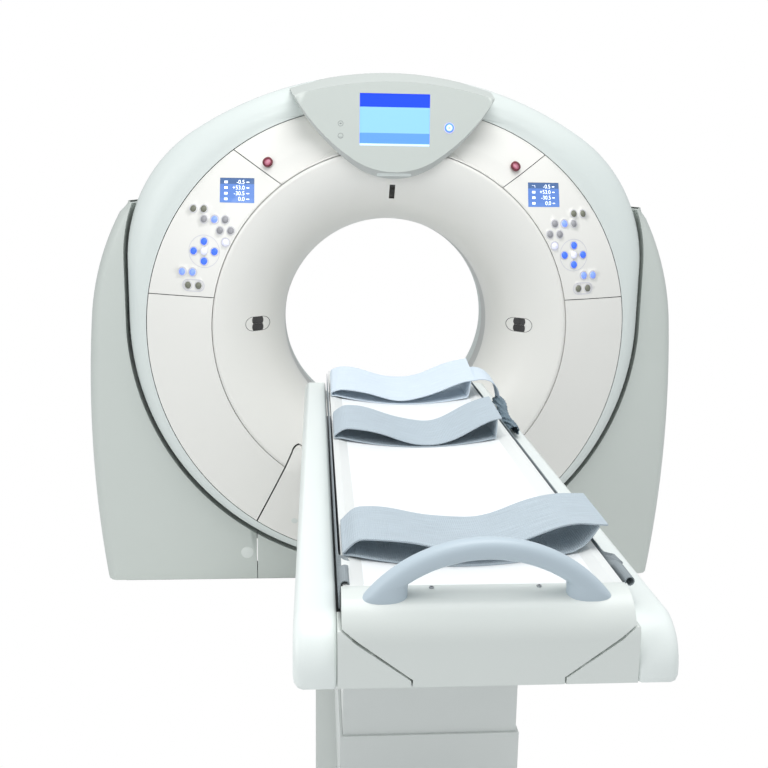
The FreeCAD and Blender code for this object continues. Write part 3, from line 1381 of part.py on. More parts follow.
mat_low = S.top_surface - S.top_dip + trough_round - root(trough_round * trough_round - S.mat_half * S.mat_half)
mat_base = mat_low + S.seat
mat_sag = mat_low - S.top_surface + S.top_dip - S.mat_thick + S.mat_edge
mat_round = (S.mat_half * S.mat_half + mat_sag * mat_sag) / (mat_sag * 2)
keep(prism("mat_pad", "XZ", [
    (-S.mat_half, mat_base),
    (S.mat_half, mat_base),
    (S.mat_half, mat_base + S.mat_edge),
    (-S.mat_half, mat_base + S.mat_edge),
], -S.mat_foot, -S.mat_head, {0: trough_round, 2: -mat_round}), "mat")

carriage_box = box("carriage_box", (-S.carriage_half, S.carriage_half), (-S.carriage_foot, -S.carriage_head),
                   (carriage_low, carriage_high))
carriage_room = box("carriage_room", (S.carriage_plate - S.carriage_half, S.carriage_half - S.carriage_plate),
                    (-S.carriage_foot * 1.1, -S.carriage_head * 0.5),
                    (carriage_low + S.carriage_plate, carriage_high - S.carriage_plate))
keep(cut("carriage_frame", carriage_box, carriage_room), "carriage")

# grab handle: a crescent between two arcs, its edges rounded, standing on the cap
handle_low = S.top_surface - S.handle_rise * 0.5
handle_outer_rise = S.top_surface + S.handle_rise - handle_low
handle_inner_rise = handle_outer_rise - S.handle_thick


def arc_through(half, rise):
    """Radius of an arc over a chord."""
    return (half * half + rise * rise) / (rise * 2)


handle_plain = prism("handle_plain", "XZ", [
    (-S.handle_outer, handle_low),
    (-S.handle_inner, handle_low),
    (S.handle_inner, handle_low),
    (S.handle_outer, handle_low),
], -S.handle_y - S.handle_thick * 0.5, -S.handle_y + S.handle_thick * 0.5,
    {1: -arc_through(S.handle_inner, handle_inner_rise), 3: arc_through(S.handle_outer, handle_outer_rise)})
DOC.recompute()
handle_round = DOC.addObject("Part::Fillet", "handle_round")
handle_round.Base = handle_plain
handle_round.Edges = [(number, float(S.handle_edge), float(S.handle_edge))
                      for number, edge in enumerate(handle_plain.Shape.Edges, start=1)
                      if edge.Curve.TypeId != "Part::GeomLine" and abs(edge.tangentAt(edge.FirstParameter).y) < 0.5]
keep(cut("handle", handle_round, cap_solid), "grab_handle")


STRAP_STEPS = 5


def easing(share):
    """Share of the way up an S-shaped rise."""
    return share * share * 3.0 - share * share * share * 2.0


def slope_between(start, end):
    """Points along an S-shaped rise or fall, without its start."""
    shares = [(number + 1.0) / STRAP_STEPS for number in range(STRAP_STEPS)]
    return [(start[0] + (end[0] - start[0]) * share, start[1] + (end[1] - start[1]) * easing(share))
            for share in shares]


def strap(name):
    """A strap that lies in a loop: one layer on the mat, and a slack layer that waves over it."""
    def size(word):
        return getattr(S, "%s_%s" % (name, word))

    half = S.strap_half
    thick = S.strap_thick
    slant = size("tilt") / size("width")
    level = S.top_surface - slant * S.strap_margin
    front = -size("left") - S.strap_margin
    rear = size("width") - size("right") + S.strap_margin
    crest = (-S.crest_x, level + size("crest"))
    valley = (size("valley_x"), level + size("valley"))
    rise = (size("rise_x"), level + size("rise"))
    under = [(-half, level + size("start")), crest] + slope_between(crest, valley)
    under += slope_between(valley, rise) + [(size("end"), level + size("rise") - thick)]
    slack = prism(name + "_slack", "XZ", under + [(x, z + thick) for x, z in reversed(under)], front, rear)
    slack.setExpression("Dir.z", slant.text)
    rest = mat_base + S.mat_edge + S.seat
    flat = prism(name + "_flat", "XZ", [
        (-half, rest),
        (-S.mat_half, rest),
        (S.mat_half, rest),
        (half, rest),
        (half, rest + thick),
        (S.mat_half, rest + thick),
        (-S.mat_half, rest + thick),
        (-half, rest + thick),
    ], front, rear, {1: mat_round, 5: -mat_round})
    layers = [slack, flat]
    right_height = valley[1] + (rise[1] - valley[1]) * easing((half - valley[0]) / (rise[0] - valley[0]))
    for side, inner, height in (("left", -half, under[0][1]), ("right", half, right_height)):
        high = height + thick * 0.5
        outer = inner + thick * (1.0 if side == "right" else -1.0)
        overlap = (inner - outer) * 0.2
        start, end = (inner + overlap, outer) if side == "right" else (outer, inner + overlap)
        layers.append(prism("%s_fold_%s" % (name, side), "YZ", [
            (front, rest),
            (rear, rest),
            (rear, high + slant * (rear - front)),
            (front, high),
        ], start, end))
    plan = prism(name + "_plan", "XY", [
        (-S.strap_reach, -size("left")),
        (S.strap_reach, -size("right")),
        (S.strap_reach, size("width") - size("right")),
        (-S.strap_reach, size("width") - size("left")),
    ], S.top_bottom, S.top_surface * 1.2)
    return common(name, [fuse(name + "_layers", layers), plan])


for strap_name in ("near", "middle", "far"):
    keep(strap(strap_name), strap_name + "_strap")

# ---- lift: three telescoping stages of shroud, each with a pair of columns inside ----


def shell_box(name, grow, low, high):
    """One stage of the shroud, open above and below."""
    half = S.shroud_half + grow
    foot = -S.shroud_foot - grow
    head = -S.shroud_head + grow
    outer = box(name + "_outside", (-half, half), (foot, head), (low, high))
    wall = S.shroud_wall
    inner = box(name + "_room", (wall - half, half - wall), (foot + wall, head - wall),
                (low - wall, high + wall))
    return cut(name, outer, inner)


def column_pair(name, shrink, low, high):
    """One stage of both lift columns: two square tubes."""
    middle = (S.shroud_foot + S.shroud_head) * 0.5
    half = S.stage_outer * 0.5 - shrink
    wall = S.stage_wall
    tubes = []
    for number, side in enumerate((-1, 1)):
        y = S.stage_spread * side - middle
        outer = box("%s_outside_%d" % (name, number), (-half, half), (y - half, y + half), (low, high))
        inner = box("%s_room_%d" % (name, number), (wall - half, half - wall),
                    (y - half + wall, y + half - wall),
                    (low - wall, high + wall))
        tubes.append(cut("%s_%d" % (name, number), outer, inner))
    return together(name, tubes)


upper_high = S.belly_low - S.seat
upper_low = upper_high - S.shroud_height
step = S.shroud_wall + S.shroud_gap
stage_step = S.stage_wall + S.stage_gap
keep(shell_box("shroud_upper", 0.0 * step, upper_low, upper_high), "upper_shroud")
keep(shell_box("shroud_mid", step, S.mid_low, S.mid_low + S.shroud_height), "mid_shroud")
floor_board = box("floor_board", (-S.floor_plate_half, S.floor_plate_half),
                  (-S.floor_plate_foot, -S.floor_plate_head),
                  (0.0, S.floor_plate))
keep(fuse("base_whole", [floor_board, shell_box("shroud_base", step * 2, S.floor_plate, S.base_shroud_top)]),
     "couch_base")
keep(column_pair("column_high", stage_step * 2, upper_low, upper_high), "lift_column_inner")
keep(column_pair("column_mid", stage_step, S.mid_low, S.mid_low + S.shroud_height), "lift_column_middle")
keep(column_pair("column_low", 0.0 * stage_step, S.floor_plate, S.base_shroud_top), "lift_column_outer")
duct_top = S.duct_half - S.duct_slope
keep(prism("duct", "XZ", [
    (-S.duct_half, 0.0),
    (S.duct_half, 0.0),
    (duct_top, S.duct_height),
    (-duct_top, S.duct_height),
], -S.floor_plate_head + S.seat, -S.stand_front - S.seat), "floor_duct")

# ---- check and write ----
DOC.recompute()
for item in DOC.Objects:
    if "Invalid" in item.State or "Error" in item.State:
        raise RuntimeError("%s could not be built" % item.Name)
os.makedirs("parts", exist_ok=True)
for item in NODES:
    if item.Shape.isNull() or not item.Shape.isValid():
        raise RuntimeError("%s has no sound shape" % item.Label)
    item.Shape.exportStep("parts/%s.step" % item.Label)
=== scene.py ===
"""CT scanner: the looks of a tilting gantry and its patient couch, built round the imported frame."""

import json
import logging
import math
from dataclasses import dataclass
from enum import Enum
from typing import Callable, Dict, Iterable, List, Optional, Sequence, Tuple

import bmesh
import bpy
from mathutils import Matrix, Vector
from mathutils.bvhtree import BVHTree

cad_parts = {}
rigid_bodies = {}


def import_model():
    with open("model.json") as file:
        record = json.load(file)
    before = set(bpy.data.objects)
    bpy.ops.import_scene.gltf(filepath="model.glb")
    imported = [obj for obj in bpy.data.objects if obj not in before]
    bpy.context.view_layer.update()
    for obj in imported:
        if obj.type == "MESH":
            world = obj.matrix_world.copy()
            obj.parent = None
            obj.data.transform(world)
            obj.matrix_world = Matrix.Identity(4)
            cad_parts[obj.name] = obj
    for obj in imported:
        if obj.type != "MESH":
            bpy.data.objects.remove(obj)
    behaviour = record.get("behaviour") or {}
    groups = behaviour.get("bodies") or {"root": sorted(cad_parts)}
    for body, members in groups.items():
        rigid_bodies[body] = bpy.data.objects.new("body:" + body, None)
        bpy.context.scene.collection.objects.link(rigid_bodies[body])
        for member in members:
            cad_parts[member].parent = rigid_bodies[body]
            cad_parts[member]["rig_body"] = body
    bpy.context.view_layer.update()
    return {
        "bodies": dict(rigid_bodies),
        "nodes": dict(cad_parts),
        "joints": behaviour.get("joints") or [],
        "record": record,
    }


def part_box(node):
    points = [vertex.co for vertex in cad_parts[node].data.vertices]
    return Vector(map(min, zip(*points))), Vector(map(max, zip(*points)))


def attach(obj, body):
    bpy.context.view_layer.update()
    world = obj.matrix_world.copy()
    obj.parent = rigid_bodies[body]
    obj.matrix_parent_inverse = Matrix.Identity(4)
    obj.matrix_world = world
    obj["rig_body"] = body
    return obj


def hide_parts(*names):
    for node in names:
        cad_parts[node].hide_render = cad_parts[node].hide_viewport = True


LOG = logging.getLogger("ct_scanner")
# Sizes and places in metres that more than one piece follows.
AXIS_Z = 1.031
FRONT_ROOM_Y = -3.0
TOP_EDGE_Z = 0.924
TROUGH_ROUND = 0.842
MAT_HALF = 0.208
TRIM_SEAT = 0.00003


class Body(Enum):
    """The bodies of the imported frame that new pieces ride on."""

    STAND = "stand"
    GANTRY = "gantry"
    COUCH = "couch_body"
    TOP = "couch_top"


def linear(colour: str) -> Tuple[float, float, float, float]:
    """Turns an sRGB hex value such as "#e0e3e1" to a linear colour with alpha 1."""
    channels = [int(colour[start:start + 2], 16) / 255.0 for start in (1, 3, 5)]
    tones = [c / 12.92 if c <= 0.04045 else ((c + 0.055) / 1.055) ** 2.4 for c in channels]
    return (tones[0], tones[1], tones[2], 1.0)


def add_node(tree: bpy.types.NodeTree, kind: str, settings: Optional[dict] = None,
             feeds: Optional[dict] = None) -> bpy.types.Node:
    """Adds a node with its settings, and fills its inputs.

    Args:
        tree: The node tree of a material, world or Geometry Nodes group.
        kind: The node's type name.
        settings: Attribute names and their values.
        feeds: Input names or numbers, each with a value or with the output socket that feeds it.

    Returns:
        The new node.
    """
    node = tree.nodes.new(kind)
    for name, value in (settings or {}).items():
        setattr(node, name, value)
    for key, value in (feeds or {}).items():
        if isinstance(value, bpy.types.NodeSocket):
            tree.links.new(value, node.inputs[key])
        else:
            node.inputs[key].default_value = value
    return node


@dataclass(frozen=True)
class Finish:
    """A finish with a slow drift of tone and a fine grain, both in real sizes (metres)."""

    name: str
    colour: str
    slot: str
    roughness: float = 0.4
    metallic: float = 0.0
    ior: float = 1.5
    coat: float = 0.0
    drift: float = 0.03
    drift_size: float = 0.4
    grain: float = 0.00006
    grain_size: float = 0.0025
    glow: float = 0.0

    def surface(self, tree: bpy.types.NodeTree) -> Tuple[bpy.types.NodeSocket, bpy.types.NodeSocket]:
        """Makes the colour and the height of the surface.

        Args:
            tree: The material's node tree.

        Returns:
            The colour socket and the height socket, which is from 0 to 1.
        """
        place = add_node(tree, "ShaderNodeTexCoord").outputs["Object"]
        cloud = add_node(tree, "ShaderNodeTexNoise", {}, {"Vector": place, "Scale": 1.0 / self.drift_size,
                                                          "Detail": 3.0})
        tone = linear(self.colour)
        darker = tuple(c * (1.0 - self.drift) for c in tone[:3]) + (1.0,)
        mix = add_node(tree, "ShaderNodeMix", {"data_type": "RGBA"},
                       {"Factor": cloud.outputs["Fac"], 6: tone, 7: darker})
        fine = add_node(tree, "ShaderNodeTexNoise", {}, {"Vector": place, "Scale": 1.0 / self.grain_size,
                                                         "Detail": 2.0})
        return mix.outputs[2], fine.outputs["Fac"]

    def material(self) -> bpy.types.Material:
        """The finish as a material, made once."""
        found = bpy.data.materials.get(self.name)
        if found is not None:
            return found
        made = bpy.data.materials.new(self.name)
        made.use_nodes = True
        tree = made.node_tree
        tree.nodes.clear()
        colour, height = self.surface(tree)
        bump = add_node(tree, "ShaderNodeBump", {}, {
            "Height": height, "Distance": self.grain, "Strength": 1.0})
        gloss = add_node(tree, "ShaderNodeMapRange", {}, {
            "Value": height, "To Min": self.roughness * 0.93, "To Max": min(1.0, self.roughness * 1.07)})
        shader = add_node(tree, "ShaderNodeBsdfPrincipled", {}, {
            "Base Color": colour, "Roughness": gloss.outputs["Result"], "Metallic": self.metallic,
            "IOR": self.ior, "Normal": bump.outputs["Normal"], "Coat Weight": self.coat,
            "Coat Roughness": 0.12})
        if self.glow:
            tree.links.new(colour, shader.inputs["Emission Color"])
            shader.inputs["Emission Strength"].default_value = self.glow
        add_node(tree, "ShaderNodeOutputMaterial", {}, {"Surface": shader.outputs["BSDF"]})
        return made


# Painted structural foam: satin, with a soft orange peel of 2 to 3 mm.
FASCIA = Finish("painted_foam_warm_white", "#ecebe6", "fascia", 0.38, coat=0.15)
COVER = Finish("painted_foam_grey_green", "#c6ccc7", "cover", 0.42, coat=0.12)
# A copy of the grey-green cover paint, made lighter: the lighter tone is painted light, not a paler paint.
COVER_PAINTED_LIGHT = Finish("painted_foam_grey_green_painted_light", "#d8dfdc", "cover", 0.42, coat=0.12)
COUCH_COVER = Finish("moulded_abs_near_white", "#e9efec", "couch_cover", 0.4, coat=0.1)
CAP_COVER = Finish("moulded_abs_cap", "#dde2de", "cap_cover", 0.4, coat=0.1)
# Turned acrylic ring: even grey, a little glossier than the covers.
BORE_RING = Finish("acrylic_bore_ring", "#b9bab7", "bore", 0.3, grain=0.00002)
# Powder coat on steel: matt, with a grain of about 1 mm that catches the light.
STEEL_FRAME = Finish("powder_coat_grey", "#8e9396", "steel_frame", 0.55, grain=0.00008, grain_size=0.0012)
COLUMN = Finish("powder_coat_column", "#83888c", "cast_column", 0.55, grain=0.00008, grain_size=0.0012)
COUCH_STEEL = Finish("powder_coat_couch", "#999ea0", "couch_steel", 0.5, grain=0.00006, grain_size=0.0012)
SHROUD = Finish("powder_coat_off_white", "#dadedb", "shroud", 0.5, grain=0.00006, grain_size=0.0012)
# Ground and machined metals: bright, with fine tool marks drawn 1 mm apart so that they show.
BEARING = Finish("ground_bearing_steel", "#b4b6b8", "bearing", 0.25, 1.0, grain=0.00001, grain_size=0.001)
ALLOY = Finish("machined_aluminium", "#c8cacd", "alloy", 0.34, 1.0, grain=0.00002, grain_size=0.001)
SLIP = Finish("turned_bronze_ring", "#b9a27c", "slip", 0.3, 1.0, grain=0.00002, grain_size=0.001)
SILVER = Finish("silver_painted_trim", "#b9bdbb", "cover", 0.28, coat=0.4)
STEEL = Finish("stainless_steel", "#b9bbbd", "bearing", 0.3, 1.0, grain=0.00001, grain_size=0.001)
ENAMEL = Finish("dark_enamel", "#33363a", "motor", 0.35)
# Carbon-fibre shell under a light paint: smooth and even.
TOP_SHELL = Finish("painted_carbon_shell", "#e8eae8", "top", 0.35, coat=0.15, grain=0.00003)
HANDLE = Finish("moulded_nylon_pale_blue", "#bdcbd4", "handle", 0.42, grain=0.00005)
WINDOW = Finish("smoked_polycarbonate", "#201d1c", "window", 0.15, ior=1.58, coat=0.5, grain=0.00001)
WINDOW_PALE = Finish("frosted_polycarbonate", "#d9d4cb", "window", 0.3, ior=1.58, grain=0.00001)
KEY_BLUE = Finish("lit_silicone_blue", "#3f6cf0", "key", 0.45, grain=0.00002, glow=0.55)
KEY_BLUE_SOFT = Finish("lit_silicone_soft_blue", "#7e9cff", "key", 0.45, grain=0.00002, glow=0.45)
KEY_WHITE = Finish("lit_silicone_white", "#e4e6ff", "key", 0.45, grain=0.00002, glow=0.35)
KEY_PAD = Finish("silicone_pad_pale", "#d3d3da", "key", 0.5, grain=0.00003)
HALO = Finish("frosted_light_ring", "#cfccf4", "key", 0.4, grain=0.00001, glow=0.3)
KEY_GREY = Finish("silicone_grey", "#a3a3a8", "key", 0.5, grain=0.00002)
KEY_OLIVE = Finish("silicone_grey_green", "#7f8172", "key", 0.5, grain=0.00002)
PRINT_GREY = Finish("screen_print_grey", "#8b908f", "cover", 0.5, grain=0.00001)
DIGIT = Finish("lit_digits", "#eef6ff", "small_screen", 0.4, grain=0.00001, glow=1.1)
LENS = Finish("sensor_lens", "#dfe6e4", "window", 0.08, ior=1.58, coat=1.0, grain=0.0)


@dataclass(frozen=True)
class LitScreen(Finish):
    """A lit display whose colour changes with height, in bands that end at the given heights."""

    bands: Tuple[Tuple[float, str], ...] = ()

    def surface(self, tree: bpy.types.NodeTree) -> Tuple[bpy.types.NodeSocket, bpy.types.NodeSocket]:
        """Makes the bands of colour and an even surface.

        Args:
            tree: The material's node tree.

        Returns:
            The colour socket and the height socket.
        """
        place = add_node(tree, "ShaderNodeTexCoord").outputs["Object"]
        split = add_node(tree, "ShaderNodeSeparateXYZ", {}, {"Vector": place})
        low, high = self.bands[0][0], self.bands[-1][0]
        reach = add_node(tree, "ShaderNodeMapRange", {}, {"Value": split.outputs["Z"], "From Min": low,
                                                          "From Max": high})
        ramp = add_node(tree, "ShaderNodeValToRGB", {}, {"Fac": reach.outputs["Result"]})
        ramp.color_ramp.interpolation = "CONSTANT"
        ramp.color_ramp.elements.remove(ramp.color_ramp.elements[1])
        ramp.color_ramp.elements[0].position = 0.0
        ramp.color_ramp.elements[0].color = linear(self.bands[0][1])
        for height, colour in self.bands[1:]:
            stop = ramp.color_ramp.elements.new((height - low) / (high - low))
            stop.color = linear(colour)
        fine = add_node(tree, "ShaderNodeTexNoise", {}, {"Vector": place, "Scale": 1.0 / self.grain_size})
        return ramp.outputs["Color"], fine.outputs["Fac"]


SCREEN = LitScreen("lit_main_display", "#5a95ff", "screen", 0.25, grain=0.0, glow=0.42, bands=(
    (1.670, "#cfe9ff"), (1.684, "#5c93fb"), (1.719, "#86bdff"), (1.806, "#1743f0"), (1.860, "#1743f0")))
SMALL_SCREEN = LitScreen("lit_small_display", "#5577b8", "small_screen", 0.25, grain=0.0, glow=0.3, bands=(
    (1.470, "#5f84c8"), (1.490, "#5b7fc4"), (1.540, "#4b6794"), (1.561, "#3f5878")))


@dataclass(frozen=True)
class Target(Finish):
    """A round knob or key whose colour changes with the distance from its centre, in metres."""

    centre: Tuple[float, float, float] = (0.0, 0.0, 0.0)
    rings: Tuple[Tuple[float, str], ...] = ()

    def surface(self, tree: bpy.types.NodeTree) -> Tuple[bpy.types.NodeSocket, bpy.types.NodeSocket]:
        """Makes the rings of colour and an even surface.

        Args:
            tree: The material's node tree.

        Returns:
            The colour socket and the height socket.
        """
        place = add_node(tree, "ShaderNodeTexCoord").outputs["Object"]
        away = add_node(tree, "ShaderNodeVectorMath", {"operation": "DISTANCE"}, {0: place, 1: self.centre})
        reach = add_node(tree, "ShaderNodeMath", {"operation": "DIVIDE"},
                         {0: away.outputs["Value"], 1: self.rings[-1][0]})
        ramp = add_node(tree, "ShaderNodeValToRGB", {}, {"Fac": reach.outputs[0]})
        colours = ramp.color_ramp
        colours.interpolation = "EASE"
        colours.elements.remove(colours.elements[1])
        colours.elements[0].position = 0.0
        colours.elements[0].color = linear(self.rings[0][1])
        for radius, colour in self.rings[1:]:
            colours.elements.new(radius / self.rings[-1][0]).color = linear(colour)
        fine = add_node(tree, "ShaderNodeTexNoise", {}, {"Vector": place, "Scale": 1.0 / self.grain_size})
        return ramp.outputs["Color"], fine.outputs["Fac"]


@dataclass(frozen=True)
class Webbing(Finish):
    """Woven strap: ribs across the strap on its own UV map, which is in metres."""

    rib: float = 0.004

    def surface(self, tree: bpy.types.NodeTree) -> Tuple[bpy.types.NodeSocket, bpy.types.NodeSocket]:
        """Makes the heathered ribs of the weave.

        Args:
            tree: The material's node tree.

        Returns:
            The colour socket and the height socket.
        """
        place = add_node(tree, "ShaderNodeUVMap").outputs["UV"]
        streak = add_node(tree, "ShaderNodeMapping", {}, {"Vector": place, "Scale": (520.0, 14.0, 1.0)})
        heather = add_node(tree, "ShaderNodeTexNoise", {}, {"Vector": streak.outputs["Vector"], "Scale": 1.0,
                                                            "Detail": 4.0})
        tone = linear(self.colour)
        darker = tuple(c * (1.0 - self.drift) for c in tone[:3]) + (1.0,)
        lighter = tuple(min(1.0, c * (1.0 + self.drift)) for c in tone[:3]) + (1.0,)
        ramp = add_node(tree, "ShaderNodeMapRange", {}, {"Value": heather.outputs["Fac"], "From Min": 0.3,
                                                         "From Max": 0.7})
        mix = add_node(tree, "ShaderNodeMix", {"data_type": "RGBA"},
                       {"Factor": ramp.outputs["Result"], 6: darker, 7: lighter})
        wave = add_node(tree, "ShaderNodeTexWave", {"bands_direction": "Y"}, {
            "Vector": place, "Scale": 0.314 / self.rib, "Distortion": 0.4})
        return mix.outputs[2], wave.outputs["Fac"]


STRAP = Webbing("heather_webbing_slate", "#b3bfc7", "strap", 0.85, drift=0.1, grain=0.0004)
# Inner face of the webbing: partly the dark loop side of the strap, partly painted shade inside the loop and
# under the slack layer.
STRAP_DARK_AND_SHADE = Webbing("loop_webbing_dark_and_painted_shade", "#232a2e", "strap", 0.95, drift=0.2, grain=0.0005)
STRAP_PALE = Webbing("heather_webbing_pale", "#d3dfe9", "far_strap", 0.85, drift=0.05, grain=0.0004)
# Grey webbing of the strips beside the couch top, darkened as painted shade of the gap they stand in.
STRAP_GREY_AND_GAP_SHADE = Webbing("edge_webbing_grey_and_painted_shade", "#8f979b", "strap", 0.9, drift=0.15, grain=0.0004)
STRAP_SLATE = Webbing("tail_webbing_slate", "#6f828e", "strap", 0.6, drift=0.35, grain=0.0008)
# Coated polyester over foam: smooth, very faint leather grain of about 2 mm.
VINYL = Finish("wipe_clean_vinyl", "#f1f3f4", "mat", 0.5, drift=0.015, grain=0.00008, grain_size=0.002)


def dress(piece: bpy.types.Object, finishes: Sequence[Finish]) -> None:
    """Gives a mesh its materials."""
    piece.data.materials.clear()
    for finish in finishes:
        piece.data.materials.append(finish.material())


def new_piece(name: str, mesh: bpy.types.Mesh, finishes: Sequence[Finish], body: str) -> bpy.types.Object:
    """Links a mesh as a piece that rides on a body.

    Args:
        name: The piece's name.
        mesh: Its mesh, in the row frame.
        finishes: Its materials, in slot order.
        body: The name of the CAD body that it moves with.

    Returns:
        The piece.
    """
    piece = bpy.data.objects.new(name, mesh)
    bpy.context.scene.collection.objects.link(piece)
    dress(piece, finishes)
    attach(piece, body)
    return piece


def soften(mesh: bpy.types.Mesh, angle: float = 32.0) -> None:
    """Shades a mesh smooth and keeps edges sharper than the angle, in degrees."""
    mesh.polygons.foreach_set("use_smooth", [True] * len(mesh.polygons))
    mesh.set_sharp_from_angle(angle=math.radians(angle))


def merged(node: bpy.types.Object, merge: float = 2e-5) -> bpy.types.Mesh:
    """A copy of a CAD node's mesh with its loose triangles joined."""
    work = bmesh.new()
    work.from_mesh(node.data)
    bmesh.ops.remove_doubles(work, verts=work.verts, dist=merge)
    for layer in list(work.loops.layers.uv.values()):
        work.loops.layers.uv.remove(layer)
    mesh = bpy.data.meshes.new(node.name + "_skin")
    work.to_mesh(mesh)
    work.free()
    return mesh


class Skins:
    """Covers of the CAD frame as joined, smooth skins, and materials for what stays as it is."""

    def __init__(self, frame: dict) -> None:
        """Keeps the frame's nodes."""
        self.nodes: Dict[str, bpy.types.Object] = frame["nodes"]
        self.made: Dict[str, bpy.types.Object] = {}

    def cover(self, name: str, finishes: Sequence[Finish], angle: float = 32.0) -> bpy.types.Object:
        """Replaces one CAD node by its smooth skin.

        Args:
            name: The node's name.
            finishes: The skin's materials.
            angle: Edges sharper than this stay sharp, in degrees.

        Returns:
            The skin.
        """
        node = self.nodes[name]
        mesh = merged(node)
        soften(mesh, angle)
        piece = new_piece(name + "_skin", mesh, finishes, node["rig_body"])
        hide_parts(name)
        self.made[name] = piece
        return piece

    def keep(self, names: Iterable[str], finish: Finish) -> None:
        """Gives CAD nodes that stay as they are a material."""
        for name in names:
            node = self.nodes[name]
            node.data.materials.clear()
            node.data.materials.append(finish.material())

    def surface(self, *names: str) -> BVHTree:
        """A tree for finding where lines meet the named CAD nodes."""
        work = bmesh.new()
        for name in names:
            work.from_mesh(self.nodes[name].data)
        tree = BVHTree.FromBMesh(work)
        work.free()
        return tree


def recolour(piece: bpy.types.Object, number: int, chosen: Callable[[Vector, Vector], bool]) -> None:
    """Gives faces another of the piece's materials.

    Args:
        piece: The piece.
        number: The material's number on the piece.
        chosen: Says from a face's centre and normal whether it gets that material.
    """
    for face in piece.data.polygons:
        if chosen(face.center, face.normal):
            face.material_index = number


def finished(name: str, work: bmesh.types.BMesh, angle: float = 32.0) -> bpy.types.Mesh:
    """Closes a piece of mesh work: faces outwards, smooth shading with sharp edges."""
    bmesh.ops.remove_doubles(work, verts=work.verts, dist=1e-6)
    bmesh.ops.recalc_face_normals(work, faces=work.faces)
    mesh = bpy.data.meshes.new(name)
    work.to_mesh(mesh)
    work.free()
    soften(mesh, angle)
    return mesh


def band(name: str, rows: Sequence[Sequence[Vector]], thick: float) -> bpy.types.Mesh:
    """A strip of webbing as a closed shell, with a UV map in metres.

    Args:
        name: The mesh's name.
        rows: Points of its middle surface, one row for each step along it.
        thick: Its thickness.

    Returns:
        The mesh, whose outer face has material 0 and whose inner face has material 1.
    """
    steps, across = len(rows), len(rows[0])
    work = bmesh.new()
    places = work.loops.layers.uv.new("UVMap")
    spots: Dict[bmesh.types.BMVert, Tuple[float, float]] = {}
    sheets: List[List[List[bmesh.types.BMVert]]] = [[], []]
    along = 0.0
    for i, row in enumerate(rows):
        before, after = rows[max(i - 1, 0)], rows[min(i + 1, steps - 1)]
        along += (row[across // 2] - rows[max(i - 1, 0)][across // 2]).length
        lines: List[List[bmesh.types.BMVert]] = [[], []]
        aside = 0.0
        for j, point in enumerate(row):
            aside += (point - row[max(j - 1, 0)]).length
            cross = (after[j] - before[j]).cross(row[min(j + 1, across - 1)] - row[max(j - 1, 0)])
            for number, sign in enumerate((0.5, -0.5)):
                vert = work.verts.new(point + cross.normalized() * thick * sign)
                spots[vert] = (aside, along)
                lines[number].append(vert)
        for number in (0, 1):
            sheets[number].append(lines[number])
    for number, sheet in enumerate(sheets):
        for i in range(steps - 1):
            for j in range(across - 1):
                ring = [sheet[i][j], sheet[i + 1][j], sheet[i + 1][j + 1], sheet[i][j + 1]]
                work.faces.new(ring if number == 0 else ring[::-1]).material_index = number
    outer, inner = sheets
    edge = ([(i, 0) for i in range(steps)] + [(steps - 1, j) for j in range(1, across)]
            + [(i, across - 1) for i in range(steps - 2, -1, -1)]
            + [(0, j) for j in range(across - 2, 0, -1)])
    for (i, j), (k, m) in zip(edge, edge[1:] + edge[:1]):
        work.faces.new((outer[k][m], outer[i][j], inner[i][j], inner[k][m]))
    for face in work.faces:
        for loop in face.loops:
            loop[places].uv = spots[loop.vert]
    bmesh.ops.recalc_face_normals(work, faces=work.faces)
    mesh = bpy.data.meshes.new(name)
    work.to_mesh(mesh)
    work.free()
    soften(mesh, 50.0)
    return mesh


def facing_point(tree: BVHTree, x: float, z: float, swing: float = 0.0) -> Vector:
    """Where a line along the scan axis from the couch first meets a surface.

    Args:
        tree: The surface.
        x: Place across.
        z: Place up.
        swing: Turn of the line round the scan axis, in radians.

    Returns:
        The point on the surface.
    """
    turned = Matrix.Rotation(swing, 3, "Y") @ Vector((x, FRONT_ROOM_Y, z - AXIS_Z))
    return tree.ray_cast(turned + Vector((0.0, 0.0, AXIS_Z)), Vector((0.0, 1.0, 0.0)))[0]


def round_an_oval(steps: int, oval: bool) -> List[Tuple[float, float, float]]:
    """Directions round a circle, or round an oval with two straight parts.

    Args:
        steps: Points on the round parts.
        oval: Whether there are straight parts.

    Returns:
        For each point its direction across and up, and its place on the straight part, from -1 to 1.
    """
    halves = 4
    around: List[Tuple[float, float, float]] = []
    for step in range(steps):
        turn = 2.0 * math.pi * (step + 0.5) / steps
        side = math.copysign(1.0, math.cos(turn))
        if oval and around and around[-1][2] != side:
            rise = math.copysign(1.0, math.sin(turn))
            around += [(0.0, rise, -side * (1.0 - number / halves)) for number in range(2 * halves + 1)]
        around.append((math.cos(turn), math.sin(turn), side))
    return around


